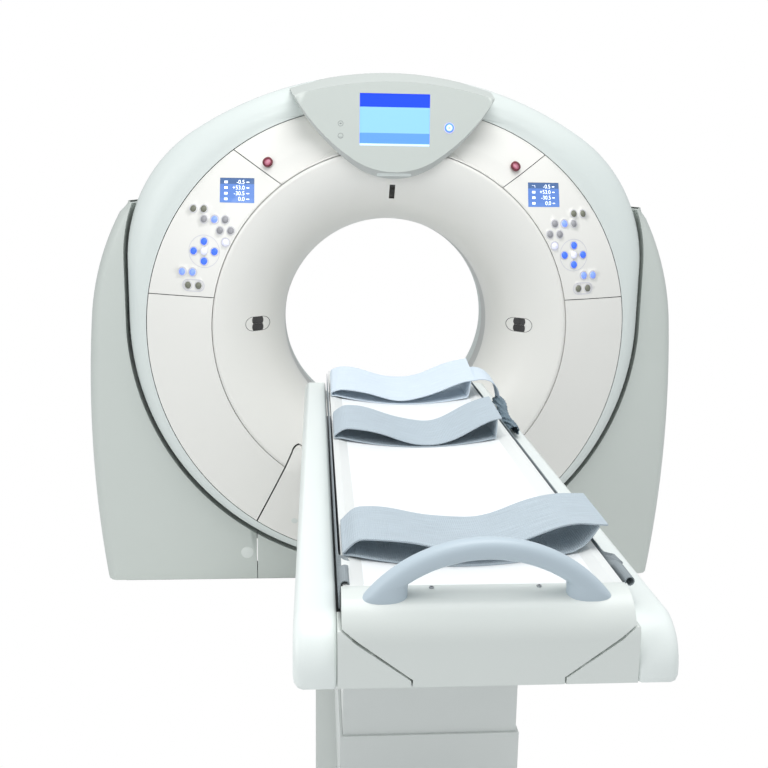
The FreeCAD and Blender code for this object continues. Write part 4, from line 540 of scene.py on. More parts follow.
def applied(work: bmesh.types.BMesh, tree: BVHTree, centre: Tuple[float, float],
            profile: Sequence[Tuple[float, float]], stretch: float = 0.0, material: int = 0,
            steps: int = 32, swing: float = 0.0) -> None:
    """Adds a round or oval trim that follows a surface which faces the couch.

    Args:
        work: The mesh work that gets it.
        tree: The surface.
        centre: Its centre, across and up.
        profile: Its closed section: distance from the centre and height above the surface.
        stretch: Half the length of the straight part of an oval.
        material: The material's number.
        steps: Points round it.
        swing: On a turned surface, how far round the scan axis its depth is taken from, in radians.
    """
    around = round_an_oval(steps, stretch > 0.0)
    rows = []
    for radius, height in profile:
        row = []
        for across, up, side in around:
            x = centre[0] + radius * across + stretch * side
            z = centre[1] + radius * up
            hit = facing_point(tree, x, z, swing)
            row.append(work.verts.new((x, hit.y - height, z)))
        rows.append(row)
    for row, after in zip(rows, rows[1:] + rows[:1]):
        for step in range(len(around)):
            following = (step + 1) % len(around)
            face = work.faces.new((row[step], row[following], after[following], after[step]))
            face.material_index = material


def rim(inner: float, outer: float, height: float) -> Tuple[Tuple[float, float], ...]:
    """Section of a flat ring that lies on a surface."""
    return ((inner, TRIM_SEAT), (inner, height), (outer, height), (outer, TRIM_SEAT))


def plate(outer: float, height: float) -> Tuple[Tuple[float, float], ...]:
    """Section of a flat disc that lies on a surface, with a slightly rounded edge."""
    centre = 0.0002
    return ((centre, TRIM_SEAT), (centre, height), (outer * 0.97, height), (outer, height * 0.7),
            (outer, TRIM_SEAT))


class Fastener:
    """A cap screw set out on surfaces by Geometry Nodes, as one plain mesh."""

    def __init__(self, radius: float) -> None:
        """Makes the screw: a domed head with a six-sided socket, its sections in shares of the radius."""
        work = bmesh.new()
        sections = ((1.0, 0.0), (1.0, 0.35), (0.8, 0.55), (0.5, 0.6), (0.46, 0.15), (0.02, 0.12))
        count = 24
        rows = []
        for share, height in sections:
            row = []
            for step in range(count):
                turn = 2.0 * math.pi * step / count
                reach = share * radius
                if share < 0.5:
                    reach *= math.cos(math.pi / 6) / math.cos((turn % (math.pi / 3)) - math.pi / 6)
                row.append(work.verts.new((reach * math.cos(turn), reach * math.sin(turn), height * radius)))
            rows.append(row)
        for row, after in zip(rows, rows[1:]):
            for step in range(count):
                following = (step + 1) % count
                work.faces.new((row[step], row[following], after[following], after[step]))
        work.faces.new(rows[-1])
        work.faces.new(rows[0][::-1])
        self.head = bpy.data.objects.new("screw_head", finished("screw_head", work))
        self.radius = radius

    def spread(self, name: str, seats: Sequence[Tuple[Vector, Vector]], finish: Finish) -> bpy.types.Mesh:
        """Sets the screw on seats.

        Args:
            name: The name of the mesh.
            seats: A point and an outward direction for each screw.
            finish: The material.

        Returns:
            The mesh of all the screws.
        """
        points = bpy.data.meshes.new(name + "_seats")
        points.from_pydata([tuple(place) for place, _ in seats], [], [])
        facing = points.attributes.new("facing", "FLOAT_VECTOR", "POINT")
        for item, (_, way) in zip(facing.data, seats):
            item.vector = way
        holder = bpy.data.objects.new(name + "_holder", points)
        bpy.context.scene.collection.objects.link(holder)
        group = bpy.data.node_groups.new(name + "_spread", "GeometryNodeTree")
        for title, way, kind in (("Seats", "INPUT", "NodeSocketGeometry"),
                                 ("Head", "INPUT", "NodeSocketObject"),
                                 ("Finish", "INPUT", "NodeSocketMaterial"),
                                 ("Screws", "OUTPUT", "NodeSocketGeometry")):
            group.interface.new_socket(title, in_out=way, socket_type=kind)
        given = add_node(group, "NodeGroupInput")
        head = add_node(group, "GeometryNodeObjectInfo", {}, {"Object": given.outputs["Head"]})
        way = add_node(group, "GeometryNodeInputNamedAttribute", {"data_type": "FLOAT_VECTOR"},
                       {"Name": "facing"})
        turned = add_node(group, "FunctionNodeAlignRotationToVector", {"axis": "Z"},
                          {"Vector": way.outputs["Attribute"]})
        placed = add_node(group, "GeometryNodeInstanceOnPoints", {}, {
            "Points": given.outputs["Seats"], "Instance": head.outputs["Geometry"],
            "Rotation": turned.outputs["Rotation"]})
        real = add_node(group, "GeometryNodeRealizeInstances", {}, {"Geometry": placed.outputs["Instances"]})
        painted = add_node(group, "GeometryNodeSetMaterial", {}, {
            "Geometry": real.outputs["Geometry"], "Material": given.outputs["Finish"]})
        add_node(group, "NodeGroupOutput", {}, {"Screws": painted.outputs["Geometry"]})
        modifier = holder.modifiers.new("spread", "NODES")
        modifier.node_group = group
        wanted = {"Head": self.head, "Finish": finish.material()}
        for item in group.interface.items_tree:
            if item.in_out == "INPUT" and item.name in wanted:
                modifier[item.identifier] = wanted[item.name]
        bpy.context.view_layer.update()
        shown = holder.evaluated_get(bpy.context.evaluated_depsgraph_get())
        mesh = bpy.data.meshes.new_from_object(shown)
        mesh.name = name
        bpy.data.objects.remove(holder)
        return mesh


@dataclass
class Gantry:
    """Covers, controls and display of the tilting body, and the covers of its stand, in metres."""

    skins: Skins
    key_radius: float = 0.0124
    key_pitch: float = 0.039
    key_rim: float = 0.0134
    pad: Tuple[float, float] = (0.666, 1.3045)
    pad_reach: Tuple[float, float] = (0.0385, 0.0345)
    pad_rim: Tuple[float, float] = (0.0556, 0.0575)
    tilt_keys: Tuple[float, float] = (0.7065, 1.1835)
    screen: Tuple[float, float] = (0.548, 1.518)
    figure_pitch: float = 0.0195
    window: Tuple[float, float] = (0.481, 1.044)
    window_straight: float = 0.016
    window_swing: float = -0.4
    lens: Tuple[float, float] = (0.0, 1.5795)
    mark_x: float = -0.1865

    def build(self) -> None:
        """Makes every piece of the gantry."""
        for name in ("inner_fascia", "lower_fascia", "upper_fascia", "lower_access_panel"):
            self.skins.cover(name, [FASCIA])
        for name in ("right_side_cover", "left_side_cover", "lower_front_cover", "lower_rear_cover"):
            self.skins.cover(name, [COVER])
        # The rim and the rear fascia take the lighter copy of the cover paint, which is painted light.
        for name in ("rim_shell", "rear_fascia"):
            self.skins.cover(name, [COVER_PAINTED_LIGHT])
        self.skins.cover("bore_liner", [BORE_RING])
        self.pod()
        for side, sign in (("right", 1.0), ("left", -1.0)):
            self.panel(side, sign)
            self.trims(side, sign)
            self.readings(side, sign)
            self.stop(side)
            for way in ("up", "down", "inner", "outer"):
                self.skins.cover("%s_%s_key" % (side, way), [KEY_BLUE])
        self.windows()
        self.locks()
        self.skins.keep(["display_screen"], SCREEN)
        self.skins.keep(["panel_screens"], SMALL_SCREEN)
        self.skins.keep(["gantry_base_frame", "tilt_frame"], STEEL_FRAME)
        self.skins.keep(["side_columns"], COLUMN)
        self.skins.keep(["trunnion_bearings", "bearing_outer_race", "bearing_inner_race"], BEARING)
        self.skins.keep(["rotor_drum", "collimator", "hv_generator"], ALLOY)
        self.skins.keep(["xray_tube", "detector"], COUCH_STEEL)
        self.skins.keep(["slip_ring"], SLIP)
        self.skins.keep(["tilt_gearmotor"], ENAMEL)

    def keys(self) -> List[Tuple[float, float, int]]:
        """Fused keys on the right panel: across, up and the number of their material on the panel."""
        olive, grey, blue, white = 1, 2, 3, 4
        rows = ((0.668, 1.4515, (olive, olive)), (0.589, 1.416, (grey, blue, grey)),
                (0.569, 1.3785, (grey, grey)), (0.588, 1.338, (white,)), (0.709, 1.230, (blue, blue)),
                (0.687, 1.1835, (olive, olive)), (self.pad[0], self.pad[1], (white,)))
        return [(x + self.key_pitch * number, z, tint)
                for x, z, tints in rows for number, tint in enumerate(tints)]

    def panel(self, side: str, sign: float) -> None:
        """Skin of one control panel with its fused keys in their colours."""
        piece = self.skins.cover(side + "_control_panel",
                                 [FASCIA, KEY_OLIVE, KEY_GREY, KEY_BLUE_SOFT, KEY_WHITE])
        for x, z, tint in self.keys():
            recolour(piece, tint, lambda centre, normal, x=x, z=z: math.hypot(
                centre.x - sign * x, centre.z - z) < self.key_radius)

    def trims(self, side: str, sign: float) -> None:
        """Rims round the keys, lit ones round the lit keys, and the pads of the arrow and tilt keys."""
        tree = self.skins.surface(side + "_control_panel")
        work = bmesh.new()
        for x, z, tint in self.keys():
            if (x, z) != self.pad:
                lit = tint in (3, 4)
                applied(work, tree, (sign * x, z), rim(self.key_rim, 0.0175 if lit else 0.0156, 0.0006),
                        material=1 if lit else 0)
        across, up = self.pad_reach
        for x, z in ((0.0, up), (0.0, -up), (across, 0.0), (-across, 0.0)):
            spot = (sign * (self.pad[0] + x), self.pad[1] + z)
            applied(work, tree, spot, rim(self.key_rim, 0.0166, 0.0009), material=1)
        middle = (sign * self.pad[0], self.pad[1])
        applied(work, tree, middle, rim(*self.pad_rim, 0.0006), material=0, steps=64)
        applied(work, tree, (sign * self.tilt_keys[0], self.tilt_keys[1]), rim(0.0185, 0.0215, 0.0007),
                stretch=0.02, steps=48)
        name = side + "_key_trims"
        new_piece(name, finished(name, work), [KEY_PAD, HALO], Body.GANTRY.value)

    def readings(self, side: str, sign: float) -> None:
        """Figures and marks on one small screen, as thin lit shapes."""
        tree = self.skins.surface("panel_screens")
        centre = (sign * self.screen[0], self.screen[1])
        work = bmesh.new()
        spots: List[Tuple[Vector, float, float]] = []
        for number, figure in enumerate(("-0.5", "+53.0", "-30.5", "0.0")):
            level = 0.0285 - self.figure_pitch * number
            line = bpy.data.curves.new("figure", "FONT")
            line.body = figure
            line.size = 0.0195
            line.align_x = "RIGHT"
            line.align_y = "CENTER"
            holder = bpy.data.objects.new("figure", line)
            shape = bpy.data.meshes.new_from_object(holder)
            shape.transform(Matrix.Translation((0.028, level, 0.0)))
            work.from_mesh(shape)
            bpy.data.objects.remove(holder)
            for left, right, tall in ((0.034, 0.044, 0.0016), (-0.046, -0.034, 0.004)):
                spots.append((Vector((left, level - tall, 0.0)), right - left, 2.0 * tall))
        for corner, wide, tall in spots:
            ring = [work.verts.new(corner + Vector(step)) for step in (
                (0.0, 0.0, 0.0), (wide, 0.0, 0.0), (wide, tall, 0.0), (0.0, tall, 0.0))]
            work.faces.new(ring)
        for vert in work.verts:
            x, z = centre[0] + vert.co.x, centre[1] + vert.co.y
            vert.co = Vector((x, facing_point(tree, x, z).y - 0.0001, z))
        mesh = bpy.data.meshes.new(side + "_readings")
        work.to_mesh(mesh)
        work.free()
        new_piece(side + "_readings", mesh, [DIGIT], Body.GANTRY.value)

    def stop(self, side: str) -> None:
        """Skin of one emergency stop: a dark red knob with a paler centre."""
        name = side + "_stop_button"
        centre = self.front_of(name)
        knob = Target("gloss_red_nylon_" + side, "#7c2334", "stop", 0.3, coat=0.3, grain=0.00001,
                      centre=centre, rings=((0.0, "#d394a4"), (0.0105, "#b9607a"), (0.0125, "#6b1a2c"),
                                            (0.02, "#7c2334")))
        self.skins.cover(name, [knob])

    def front_of(self, name: str) -> Tuple[float, float, float]:
        """Middle of the face of a round node that points to the couch."""
        low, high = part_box(name)
        x, z = (low[0] + high[0]) * 0.5, (low[2] + high[2]) * 0.5
        hit = facing_point(self.skins.surface(name), x, z)
        return (hit.x, hit.y, hit.z)

    def pod(self) -> None:
        """Skin of the display pod with its silver band, sensor lens, marks and power key."""
        piece = self.skins.cover("display_housing", [COVER, SILVER], 24.0)
        recolour(piece, 1, lambda centre, normal: normal.y < -0.2 and normal.z < -0.25 and centre.y < -0.3)
        tree = self.skins.surface("display_housing")
        work = bmesh.new()
        applied(work, tree, self.lens, plate(0.0048, 0.0008), stretch=0.055, steps=40)
        new_piece("sensor_lens", finished("sensor_lens", work), [LENS], Body.GANTRY.value)
        work = bmesh.new()
        for z in (1.749, 1.708):
            applied(work, tree, (self.mark_x, z), rim(0.0078, 0.0094, 0.0002))
        applied(work, tree, (self.mark_x, 1.749), plate(0.0022, 0.0002), stretch=0.0015)
        applied(work, tree, (self.mark_x, 1.7035), plate(0.0009, 0.0002), stretch=0.0075)
        new_piece("pod_marks", finished("pod_marks", work), [PRINT_GREY], Body.GANTRY.value)
        centre = self.front_of("power_key")
        key = Target("lit_power_key", "#cfe4ff", "power", 0.3, grain=0.00001, glow=0.5, centre=centre, rings=(
            (0.0, "#dbeaff"), (0.003, "#7fb2ff"), (0.005, "#e8f2ff"), (0.0095, "#cfe3ff"), (0.012, "#5a9bff"),
            (0.016, "#3f7ff0")))
        self.skins.cover("power_key", [key])
        work = bmesh.new()
        applied(work, tree, (centre[0], centre[2]), rim(0.0158, 0.0185, 0.0006))
        new_piece("power_key_rim", finished("power_key_rim", work), [HALO], Body.GANTRY.value)

    def windows(self) -> None:
        """Laser windows: a smoked slot at the top, and two pale ovals with dark edges at the sides."""
        piece = self.skins.cover("laser_windows", [WINDOW, WINDOW_PALE])
        recolour(piece, 1, lambda centre, normal: abs(centre.x) > 0.2)
        tree = self.skins.surface("inner_fascia")
        work = bmesh.new()
        face, back = -0.0006, -0.0024
        pane = ((0.0003, face), (0.010, face), (0.018, face), (0.0245, face), (0.0245, back), (0.010, back),
                (0.0003, back))
        for sign in (1.0, -1.0):
            centre, swing = (sign * self.window[0], self.window[1]), sign * self.window_swing
            applied(work, tree, centre, rim(0.0246, 0.0262, 0.0003), stretch=self.window_straight, steps=64,
                    swing=swing)
            applied(work, tree, centre, pane, stretch=self.window_straight, material=1, steps=64, swing=swing)
        new_piece("window_panes", finished("window_panes", work), [WINDOW, WINDOW_PALE],
                  Body.GANTRY.value)

    def locks(self) -> None:
        """Quarter-turn locks of the access panel and of the side covers."""
        for name, x, z, radius, node, body in (
                ("access_locks", 0.351, 0.280, 0.011, "lower_access_panel", Body.GANTRY),
                ("cover_locks", 0.540, 0.113, 0.022, "side_covers", Body.STAND)):
            nodes = ("left_side_cover", "right_side_cover") if node == "side_covers" else (node,)
            tree = self.skins.surface(*nodes)
            work = bmesh.new()
            for sign in (1.0, -1.0):
                applied(work, tree, (sign * x, z), rim(radius, radius * 1.1, 0.0006), material=2)
                applied(work, tree, (sign * x, z), plate(radius * 0.99, 0.0008), material=1)
                applied(work, tree, (sign * x, z), rim(radius * 0.1, radius * 0.22, 0.0011), material=2,
                        stretch=radius * 0.4)
            # The lock plates take the lighter copy of the cover paint, which is painted light.
            new_piece(name, finished(name, work), [CAP_COVER, COVER_PAINTED_LIGHT, ENAMEL], body.value)


@dataclass(frozen=True)
class Strap:
    """A strap in a loop, in metres: its lower layer lies on the mat, and a slack layer waves over it."""

    node: str
    finish: Finish
    left: float
    right: float
    width: float
    start: float
    crest: float
    valley: float
    valley_x: float
    rise: float
    rise_x: float
    end: float
    tilt: float
    half: float = 0.222
    crest_x: float = -0.190
    edge: float = TOP_EDGE_Z
    thick: float = 0.0026
    mat_low: float = 0.9006
    lift: float = 0.0015
    drop: float = 0.003
    join: float = 0.186

    def slack(self, x: float) -> float:
        """Height of the middle of the slack layer along its front edge."""
        def eased(low: Tuple[float, float], high: Tuple[float, float]) -> float:
            """Height on an S-shaped way between two points."""
            share = min(max((x - low[0]) / (high[0] - low[0]), 0.0), 1.0)
            return low[1] + (high[1] - low[1]) * (3.0 - 2.0 * share) * share * share
        if x < self.crest_x:
            share = (x + self.half) / (self.half + self.crest_x)
            level = self.start + (self.crest - self.start) * math.sin(max(share, 0.0) * math.pi * 0.5)
        elif x < self.valley_x:
            level = eased((self.crest_x, self.crest), (self.valley_x, self.valley))
        elif x < self.rise_x:
            level = eased((self.valley_x, self.valley), (self.rise_x, self.rise))
        else:
            level = self.rise - self.drop * (x - self.rise_x) / max(self.end - self.rise_x, 0.001)
        return self.edge + level + self.lift

    def lying(self, x: float) -> float:
        """Height of the middle of the lower layer on the mat."""
        reach = min(abs(x), MAT_HALF)
        return self.mat_low + (TROUGH_ROUND - math.sqrt(TROUGH_ROUND ** 2 - reach ** 2)) + self.lift

    def path(self) -> List[Tuple[float, float, float]]:
        """Way of the strap from its loose end: across, up, and how much it takes part in the tilt."""
        spots = []
        slack_steps, fold_steps, mat_steps, rise_steps = 56, 8, 36, 12
        for step in range(slack_steps + 1):
            x = self.end - (self.end + self.half) * step / slack_steps
            spots.append((x, self.slack(x), 1.0))
        top, low = self.slack(-self.half), self.lying(self.half)
        for step in range(1, fold_steps):
            turn = math.pi * step / fold_steps
            spots.append((-self.half - 0.0022 * math.sin(turn),
                          (top + low) * 0.5 + (top - low) * 0.5 * math.cos(turn), 1.0 - step / fold_steps))
        for step in range(mat_steps):
            x = -self.half + (self.half + self.join) * step / (mat_steps - 1)
            spots.append((x, self.lying(x), 0.0))
        under = min(0.229, self.end - 0.012)
        over, start = self.slack(under) - 0.0033, self.lying(0.2)
        for step in range(1, rise_steps + 1):
            share = step / rise_steps
            swing = (3.0 - 2.0 * share) * share * share
            spots.append((self.join + (under - self.join) * (1.0 - (1.0 - share) ** 1.6),
                          start + (over - start) * swing, swing))
        return spots

    def rows(self) -> List[List[Vector]]:
        """Points of the strap's middle surface."""
        across = 14
        rows = []
        for x, z, share in self.path():
            front = -(self.left + (self.right - self.left) * (x + 0.3) / 0.6)
            row = []
            for step in range(across + 1):
                part = 1.0 - step / across
                flutter = share * 0.0011 * math.sin(x * 47.0 + part * 2.1) * (2.0 * part - 1.0) ** 2
                row.append(Vector((x, front + self.width * part, z + share * self.tilt * part + flutter)))
            rows.append(row)
        return rows

    def build(self, rests_on: bpy.types.Object) -> None:
        """Makes the strap in place of its plain one."""
        name = self.node + "_loop"
        # The inner face is the dark loop side, darkened further as painted shade inside the loop.
        piece = new_piece(name, band(name, self.rows(), self.thick), [self.finish, STRAP_DARK_AND_SHADE],
                          Body.TOP.value)
        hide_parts(self.node)
        long = sum(math.dist(a[:2], b[:2]) for a, b in zip(self.path(), self.path()[1:]))


STRAPS = (
    Strap("near_strap", STRAP, left=2.221, right=2.189, width=0.165, start=0.008, crest=0.031,
          valley=0.004, valley_x=0.010, rise=0.048, rise_x=0.200, end=0.244, tilt=0.002),
    Strap("middle_strap", STRAP, left=1.439, right=1.417, width=0.195, start=0.010, crest=0.027,
          valley=-0.019, valley_x=0.020, rise=0.049, rise_x=0.212, end=0.200, tilt=0.014),
    Strap("far_strap", STRAP_PALE, left=0.947, right=0.946, width=0.190, start=0.012, crest=0.022,
          valley=-0.012, valley_x=-0.010, rise=0.050, rise_x=0.220, end=0.207, tilt=0.033),
)


@dataclass
class Couch:
    """Covers of the couch, its top, mat, straps, handle and foot cap."""

    skins: Skins

    def build(self) -> None:
        """Makes every piece of the couch."""
        for name in ("right_side_panel", "left_side_panel"):
            self.skins.cover(name, [COUCH_COVER])
        for name in ("foot_cap", "corner_covers"):
            self.nose(self.skins.cover(name, [CAP_COVER]))
        self.handle()
        self.skins.cover("couch_top", [TOP_SHELL])
        mat = self.mat()
        for strap in STRAPS:
            strap.build(mat)
        self.edge_strip("left_edge_strip", -0.2335)
        self.edge_strip("right_edge_strip", 0.2325)
        self.bundle()
        self.screws()
        self.skins.keep(["couch_frame"], COUCH_STEEL)
        self.skins.keep(["couch_base", "mid_shroud", "upper_shroud", "floor_duct"], SHROUD)
        self.skins.keep(["lift_column_inner", "lift_column_middle", "lift_column_outer", "carriage"], ALLOY)

    def nose(self, piece: bpy.types.Object) -> None:
        """Rounds the top of the foot end, where the cover bulges out below its crease.

        Args:
            piece: The skin of the cap or of the corner covers, whose sloped front is moved to the round.
        """
        inner, crease, foot, round_off, top = -2.336, -2.347, -2.412, 0.065, TOP_EDGE_Z
        slope_y, slope_z, slope_round, slope_low = -2.2122, 0.7761, 0.2, 0.787
        near_skin, steps = 0.002, 16
        mesh = piece.data
        work = bmesh.new()
        work.from_mesh(mesh)
        levels = [top - round_off * (1.0 - math.sin(math.pi * 0.5 * step / steps)) for step in range(steps)]
        for level in levels + [top - 0.00004] + [0.79 + 0.01 * step for step in range(7)]:
            bmesh.ops.bisect_plane(work, geom=work.verts[:] + work.edges[:] + work.faces[:],
                                   plane_co=(0.0, 0.0, level), plane_no=(0.0, 0.0, 1.0))
        for vert in work.verts:
            up = vert.co.z - (top - round_off)
            wanted = crease - math.sqrt(max(round_off ** 2 - max(up, 0.0) ** 2, 0.0))
            plain = slope_y - math.sqrt(slope_round ** 2 - (max(vert.co.z, slope_low) - slope_z) ** 2)
            if vert.co.y < inner - 0.0001 and vert.co.z < top + 0.001:
                if abs(vert.co.y - plain) < near_skin:
                    vert.co.y = max(wanted, foot)
                else:
                    share = (wanted - inner) / (plain - inner)
                    vert.co.y = max(inner + (vert.co.y - inner) * share, foot)
        work.to_mesh(mesh)
        work.free()
        soften(mesh, 40.0)
        facings = [Vector(corner.vector) for corner in mesh.corner_normals]
        for face in mesh.polygons:
            for corner in face.loop_indices:
                spot = mesh.vertices[mesh.loops[corner].vertex_index].co
                bulge = Vector((0.0, spot.y - crease, max(spot.z - (top - round_off), 0.0)))
                if bulge.length > 0.0 and face.normal.dot(bulge.normalized()) > 0.9:
                    facings[corner] = bulge.normalized()
        mesh.normals_split_custom_set(facings)

    def handle(self) -> None:
        """The grab handle: a bow that widens to its two feet, which stand on the cap."""
        y, deep, base = -2.366, 0.0175, 0.908
        outer_half, outer_low, outer_top = 0.203, 0.914, 1.0155
        inner_half, inner_low, inner_top = 0.126, 0.942, 0.980
        steps, around, fullness = 72, 28, 0.85

        def bow(share: float, half: float, low: float, top: float) -> Tuple[float, float]:
            """Point on an arc over the couch, across and up, at a share of its way from the top."""
            radius = (half ** 2 + (top - low) ** 2) / (2.0 * (top - low))
            reach = math.asin(half / radius)
            return radius * math.sin(reach * share), top - radius + radius * math.cos(reach * share)

        pairs = [((-outer_half - 0.003, base), (-inner_half - 0.001, base)),
                 ((-outer_half - 0.001, outer_low - 0.002), (-inner_half - 0.001, outer_low + 0.004)),
                 ((-outer_half, outer_low), (-inner_half - 0.001, outer_low + 0.016))]
        for step in range(steps + 1):
            share = 2.0 * step / steps - 1.0
            pairs.append((bow(share * 0.985, outer_half, outer_low, outer_top),
                          bow(share, inner_half, inner_low, inner_top)))
        pairs += [((-a[0], a[1]), (-b[0], b[1])) for a, b in reversed(pairs[:3])]
        work = bmesh.new()
        rows = []
        for a, b in pairs:
            row = []
            for step in range(around):
                turn = 2.0 * math.pi * step / around
                part = 0.5 + 0.5 * math.copysign(abs(math.cos(turn)) ** fullness, math.cos(turn))
                aside = math.copysign(abs(math.sin(turn)) ** fullness, math.sin(turn)) * deep
                x, z = b[0] + (a[0] - b[0]) * part, b[1] + (a[1] - b[1]) * part
                row.append(work.verts.new((x, y + aside, z)))
            rows.append(row)
        for row, after in zip(rows, rows[1:]):
            for step in range(around):
                following = (step + 1) % around
                work.faces.new((row[step], row[following], after[following], after[step]))
        work.faces.new(rows[0])
        work.faces.new(rows[-1][::-1])
        piece = new_piece("grab_handle_bow", finished("grab_handle_bow", work, 60.0), [HANDLE],
                          Body.TOP.value)
        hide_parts("grab_handle")

    def mat(self) -> bpy.types.Object:
        """The mat: a thin pad that follows the hollow of the top, with rounded edges and a sewn welt."""
        half, foot, head = MAT_HALF, 2.325, 0.560
        across, along = 64, 150
        skin, edge_round, welt_inset = 0.0004, 0.006, 0.014

        def under(x: float) -> float:
            """Height of the hollow of the top under the mat."""
            return 0.8903 + TROUGH_ROUND - math.sqrt(TROUGH_ROUND ** 2 - x * x) - skin * abs(x) / half

        work = bmesh.new()
        tops, lows = [], []
        for i in range(along + 1):
            share = 0.5 - 0.5 * math.cos(math.pi * i / along)
            y = -foot + (foot - head) * share
            top_row, low_row = [], []
            for j in range(across + 1):
                x = -half * math.cos(math.pi * j / across)
                inset = min(half - abs(x), foot + y, -head - y)
                round_off = math.sqrt(max(0.0, 1.0 - (1.0 - min(inset / edge_round, 1.0)) ** 2))
                welt = 0.0008 * math.exp(-((inset - welt_inset) / 0.0016) ** 2)
                thick = 0.004 + 0.006 * max(0.0, 1.0 - (x / half) ** 4)
                height = skin + (thick - skin) * (0.35 + 0.65 * round_off)
                top_row.append(work.verts.new((x, y, under(x) + height - welt * round_off)))
                low_row.append(work.verts.new((x, y, under(x) + skin)))
            tops.append(top_row)
            lows.append(low_row)
        for i in range(along):
            for j in range(across):
                work.faces.new((tops[i][j], tops[i][j + 1], tops[i + 1][j + 1], tops[i + 1][j]))
                work.faces.new((lows[i][j], lows[i + 1][j], lows[i + 1][j + 1], lows[i][j + 1]))
        edge = ([(0, j) for j in range(across)] + [(i, across) for i in range(along)]
                + [(along, j) for j in range(across, 0, -1)] + [(i, 0) for i in range(along, 0, -1)])
        for (i, j), (k, m) in zip(edge, edge[1:] + edge[:1]):
            work.faces.new((tops[i][j], lows[i][j], lows[k][m], tops[k][m]))
        piece = new_piece("mat_pad", finished("mat_pad", work, 60.0), [VINYL], Body.TOP.value)
        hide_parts("mat")
        return piece

    def edge_strip(self, name: str, x: float) -> None:
        """A strip of webbing that stands in the gap beside the couch top and curls over at the foot. Its curl
        is the strap's rolled end; its grey and dark faces are partly painted shade of the gap.

        Args:
            name: The strip's name.
            x: Its place across.
        """
        rows = []
        steps, foot, long, wide = 70, -2.332, 1.73, 0.075
        for step in range(steps + 1):
            y = foot + long * (step / steps) ** 1.5
            curl = min(max((-2.205 - y) / 0.07, 0.0), 1.0)
            curl = curl * curl * (3.0 - 2.0 * curl)
            low = 0.852 + 0.032 * curl
            spot = Vector((x, y, low))
            row = [spot.copy()]
            heading, stride = 0.0, 0.003
            for number in range(25):
                heading += curl * (0.42 if number > 13 else 0.006)
                spot = spot + Vector((math.sin(heading), 0.0, math.cos(heading))) * stride
                row.append(spot.copy())
            rows.append(row)
        # Grey outer face and dark inner face: partly the strap's own colour, partly painted shade of the gap
        # beside the top.
        piece = new_piece(name, band(name, rows, 0.0016), [STRAP_GREY_AND_GAP_SHADE, STRAP_DARK_AND_SHADE], Body.TOP.value)

    def bundle(self) -> None:
        """The loose end of the far strap: an arch over the edge, and a crumpled tail on the rail."""
        arch = []
        way = ((0.206, 0.9735), (0.222, 0.9765), (0.240, 0.9755), (0.256, 0.970), (0.269, 0.960),
               (0.278, 0.947), (0.284, 0.932), (0.2865, 0.918), (0.2875, 0.905))
        for number, (x, z) in enumerate(way):
            pinch = (number / (len(way) - 1.0)) ** 1.4
            row = []
            for step in range(13):
                part = 1.0 - step / 12.0
                middle, reach = -0.872 - 0.02 * pinch, 0.07 - 0.045 * pinch
                row.append(Vector((x + 0.003 * pinch * math.sin(step * 2.3),
                                   middle + reach * (2.0 * part - 1.0), z + 0.014 * part * (1.0 - pinch))))
            arch.append(row)
        piece = new_piece("far_strap_end", band("far_strap_end", arch, 0.0022), [STRAP_PALE, STRAP_DARK_AND_SHADE],
                          Body.TOP.value)
        tail = []
        steps = 60
        for step in range(steps + 1):
            share = step / steps
            middle = Vector((0.286 - 0.026 * share + 0.004 * math.sin(share * 9.0), -0.89 - 0.39 * share,
                             0.9015 + 0.004 * math.sin(share * 7.0)))
            row = []
            for number in range(19):
                turn = math.radians(-40.0 + 250.0 * number / 18.0) + 0.5 * math.sin(share * 6.0)
                reach = 0.0135 + 0.0022 * math.sin(number * 1.9 + share * 31.0) + 0.0016 * math.sin(
                    number * 3.1 - share * 57.0)
                row.append(middle + Vector((math.cos(turn), 0.0, math.sin(turn))) * reach)
            tail.append(row)
        piece = new_piece("far_strap_tail", band("far_strap_tail", tail, 0.0012), [STRAP_SLATE, STRAP_DARK_AND_SHADE],
                          Body.TOP.value)

    def screws(self) -> None:
        """The two cap screws in the top of the foot cap."""
        work = bmesh.new()
        work.from_mesh(self.skins.made["foot_cap"].data)
        tree = BVHTree.FromBMesh(work)
        work.free()
        seats = []
        for x in (-0.087, 0.087):
            hit, normal, _, _ = tree.ray_cast(Vector((x, -2.3475, 2.0)), Vector((0.0, 0.0, -1.0)))
            seats.append((hit + normal * 0.0001, normal))
        mesh = Fastener(0.0042).spread("cap_screws", seats, STEEL)
        new_piece("cap_screws", mesh, [STEEL], Body.TOP.value)


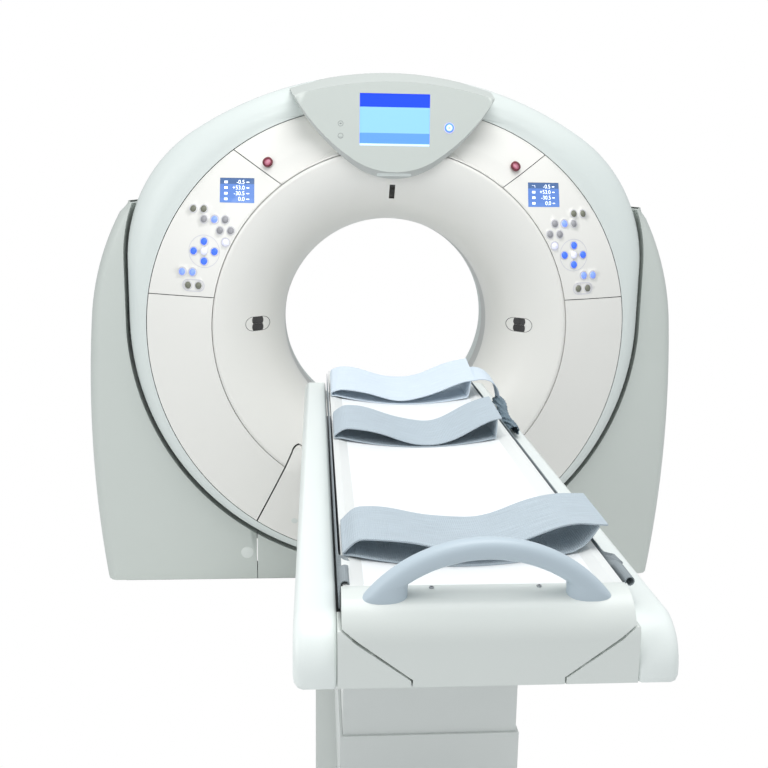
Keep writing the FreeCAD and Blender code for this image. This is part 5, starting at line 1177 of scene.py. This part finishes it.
@dataclass
class Studio:
    """Camera at the photograph's angle, plain pale floor and soft light."""

    place: Tuple[float, float, float] = (-0.2720, -3.7964, 1.5586)
    lens: float = 45.745
    yaw: float = 0.0717138
    pitch: float = 0.205230
    roll: float = 0.0154367

    def camera(self) -> None:
        """Sets the camera."""
        data = bpy.data.cameras.new("camera")
        data.lens = self.lens
        data.sensor_width = 36.0
        camera = bpy.data.objects.new("camera", data)
        bpy.context.scene.collection.objects.link(camera)
        turn = (Matrix.Rotation(-self.yaw, 4, "Z") @ Matrix.Rotation(math.pi / 2 - self.pitch, 4, "X")
                @ Matrix.Rotation(self.roll, 4, "Z"))
        camera.matrix_world = Matrix.Translation(self.place) @ turn
        bpy.context.scene.camera = camera

    def floor(self) -> None:
        """Lays a plain pale floor, which shows as even white to the camera."""
        bpy.ops.mesh.primitive_plane_add(size=60.0, location=(0.0, 0.0, 0.0))
        floor = bpy.context.object
        floor.name = "studio_floor"
        made = bpy.data.materials.new("white_floor")
        made.use_nodes = True
        tree = made.node_tree
        tree.nodes.clear()
        plain = add_node(tree, "ShaderNodeBsdfDiffuse", {}, {"Color": linear("#fbfbfb")})
        white = add_node(tree, "ShaderNodeEmission", {}, {"Color": (1.0, 1.0, 1.0, 1.0), "Strength": 1.0})
        path = add_node(tree, "ShaderNodeLightPath")
        mix = add_node(tree, "ShaderNodeMixShader", {}, {
            0: path.outputs["Is Camera Ray"], 1: plain.outputs["BSDF"], 2: white.outputs["Emission"]})
        add_node(tree, "ShaderNodeOutputMaterial", {}, {"Surface": mix.outputs["Shader"]})
        floor.data.materials.append(made)

    def world(self) -> None:
        """Lights the object from all round, and shows even white to the camera and through glass alone."""
        world = bpy.data.worlds.new("studio")
        bpy.context.scene.world = world
        world.use_nodes = True
        tree = world.node_tree
        tree.nodes.clear()
        path = add_node(tree, "ShaderNodeLightPath")
        seen = add_node(tree, "ShaderNodeMath", {"operation": "MAXIMUM"},
                        {0: path.outputs["Is Camera Ray"], 1: path.outputs["Is Transmission Ray"]})
        soft = add_node(tree, "ShaderNodeBackground", {}, {"Color": linear("#f4f8fb"), "Strength": 0.62})
        white = add_node(tree, "ShaderNodeBackground", {}, {"Color": (1.0, 1.0, 1.0, 1.0), "Strength": 1.0})
        mix = add_node(tree, "ShaderNodeMixShader", {}, {0: seen.outputs[0], 1: soft.outputs[0],
                                                         2: white.outputs[0]})
        add_node(tree, "ShaderNodeOutputWorld", {}, {"Surface": mix.outputs[0]})

    def lamp(self, name: str, place: Tuple[float, float, float], size: float, power: float,
             target: Tuple[float, float, float]) -> None:
        """Adds one soft lamp that points at a target."""
        data = bpy.data.lights.new(name, "AREA")
        data.shape = "DISK"
        data.size = size
        data.energy = power
        lamp = bpy.data.objects.new(name, data)
        bpy.context.scene.collection.objects.link(lamp)
        aim = (Vector(target) - Vector(place)).to_track_quat("-Z", "Y")
        lamp.matrix_world = Matrix.Translation(place) @ aim.to_matrix().to_4x4()

    def build(self) -> None:
        """Makes the whole studio."""
        self.camera()
        self.floor()
        self.world()
        self.lamp("ceiling_lamp", (0.3, -2.0, 5.0), 3.5, 130.0, (0.0, -0.8, 0.9))
        self.lamp("left_lamp", (-3.8, -3.6, 3.0), 2.5, 45.0, (0.0, -0.6, 1.0))
        bpy.context.scene.view_settings.view_transform = "Standard"


def main() -> None:
    """Builds the object's looks round the frame, piece by piece."""
    logging.basicConfig(level=logging.INFO, format="%(message)s")
    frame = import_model()
    skins = Skins(frame)
    Gantry(skins).build()
    Couch(skins).build()
    Studio().build()
    for name in skins.made:
        LOG.info("skin %s", name)


if __name__ == "__main__":
    main()
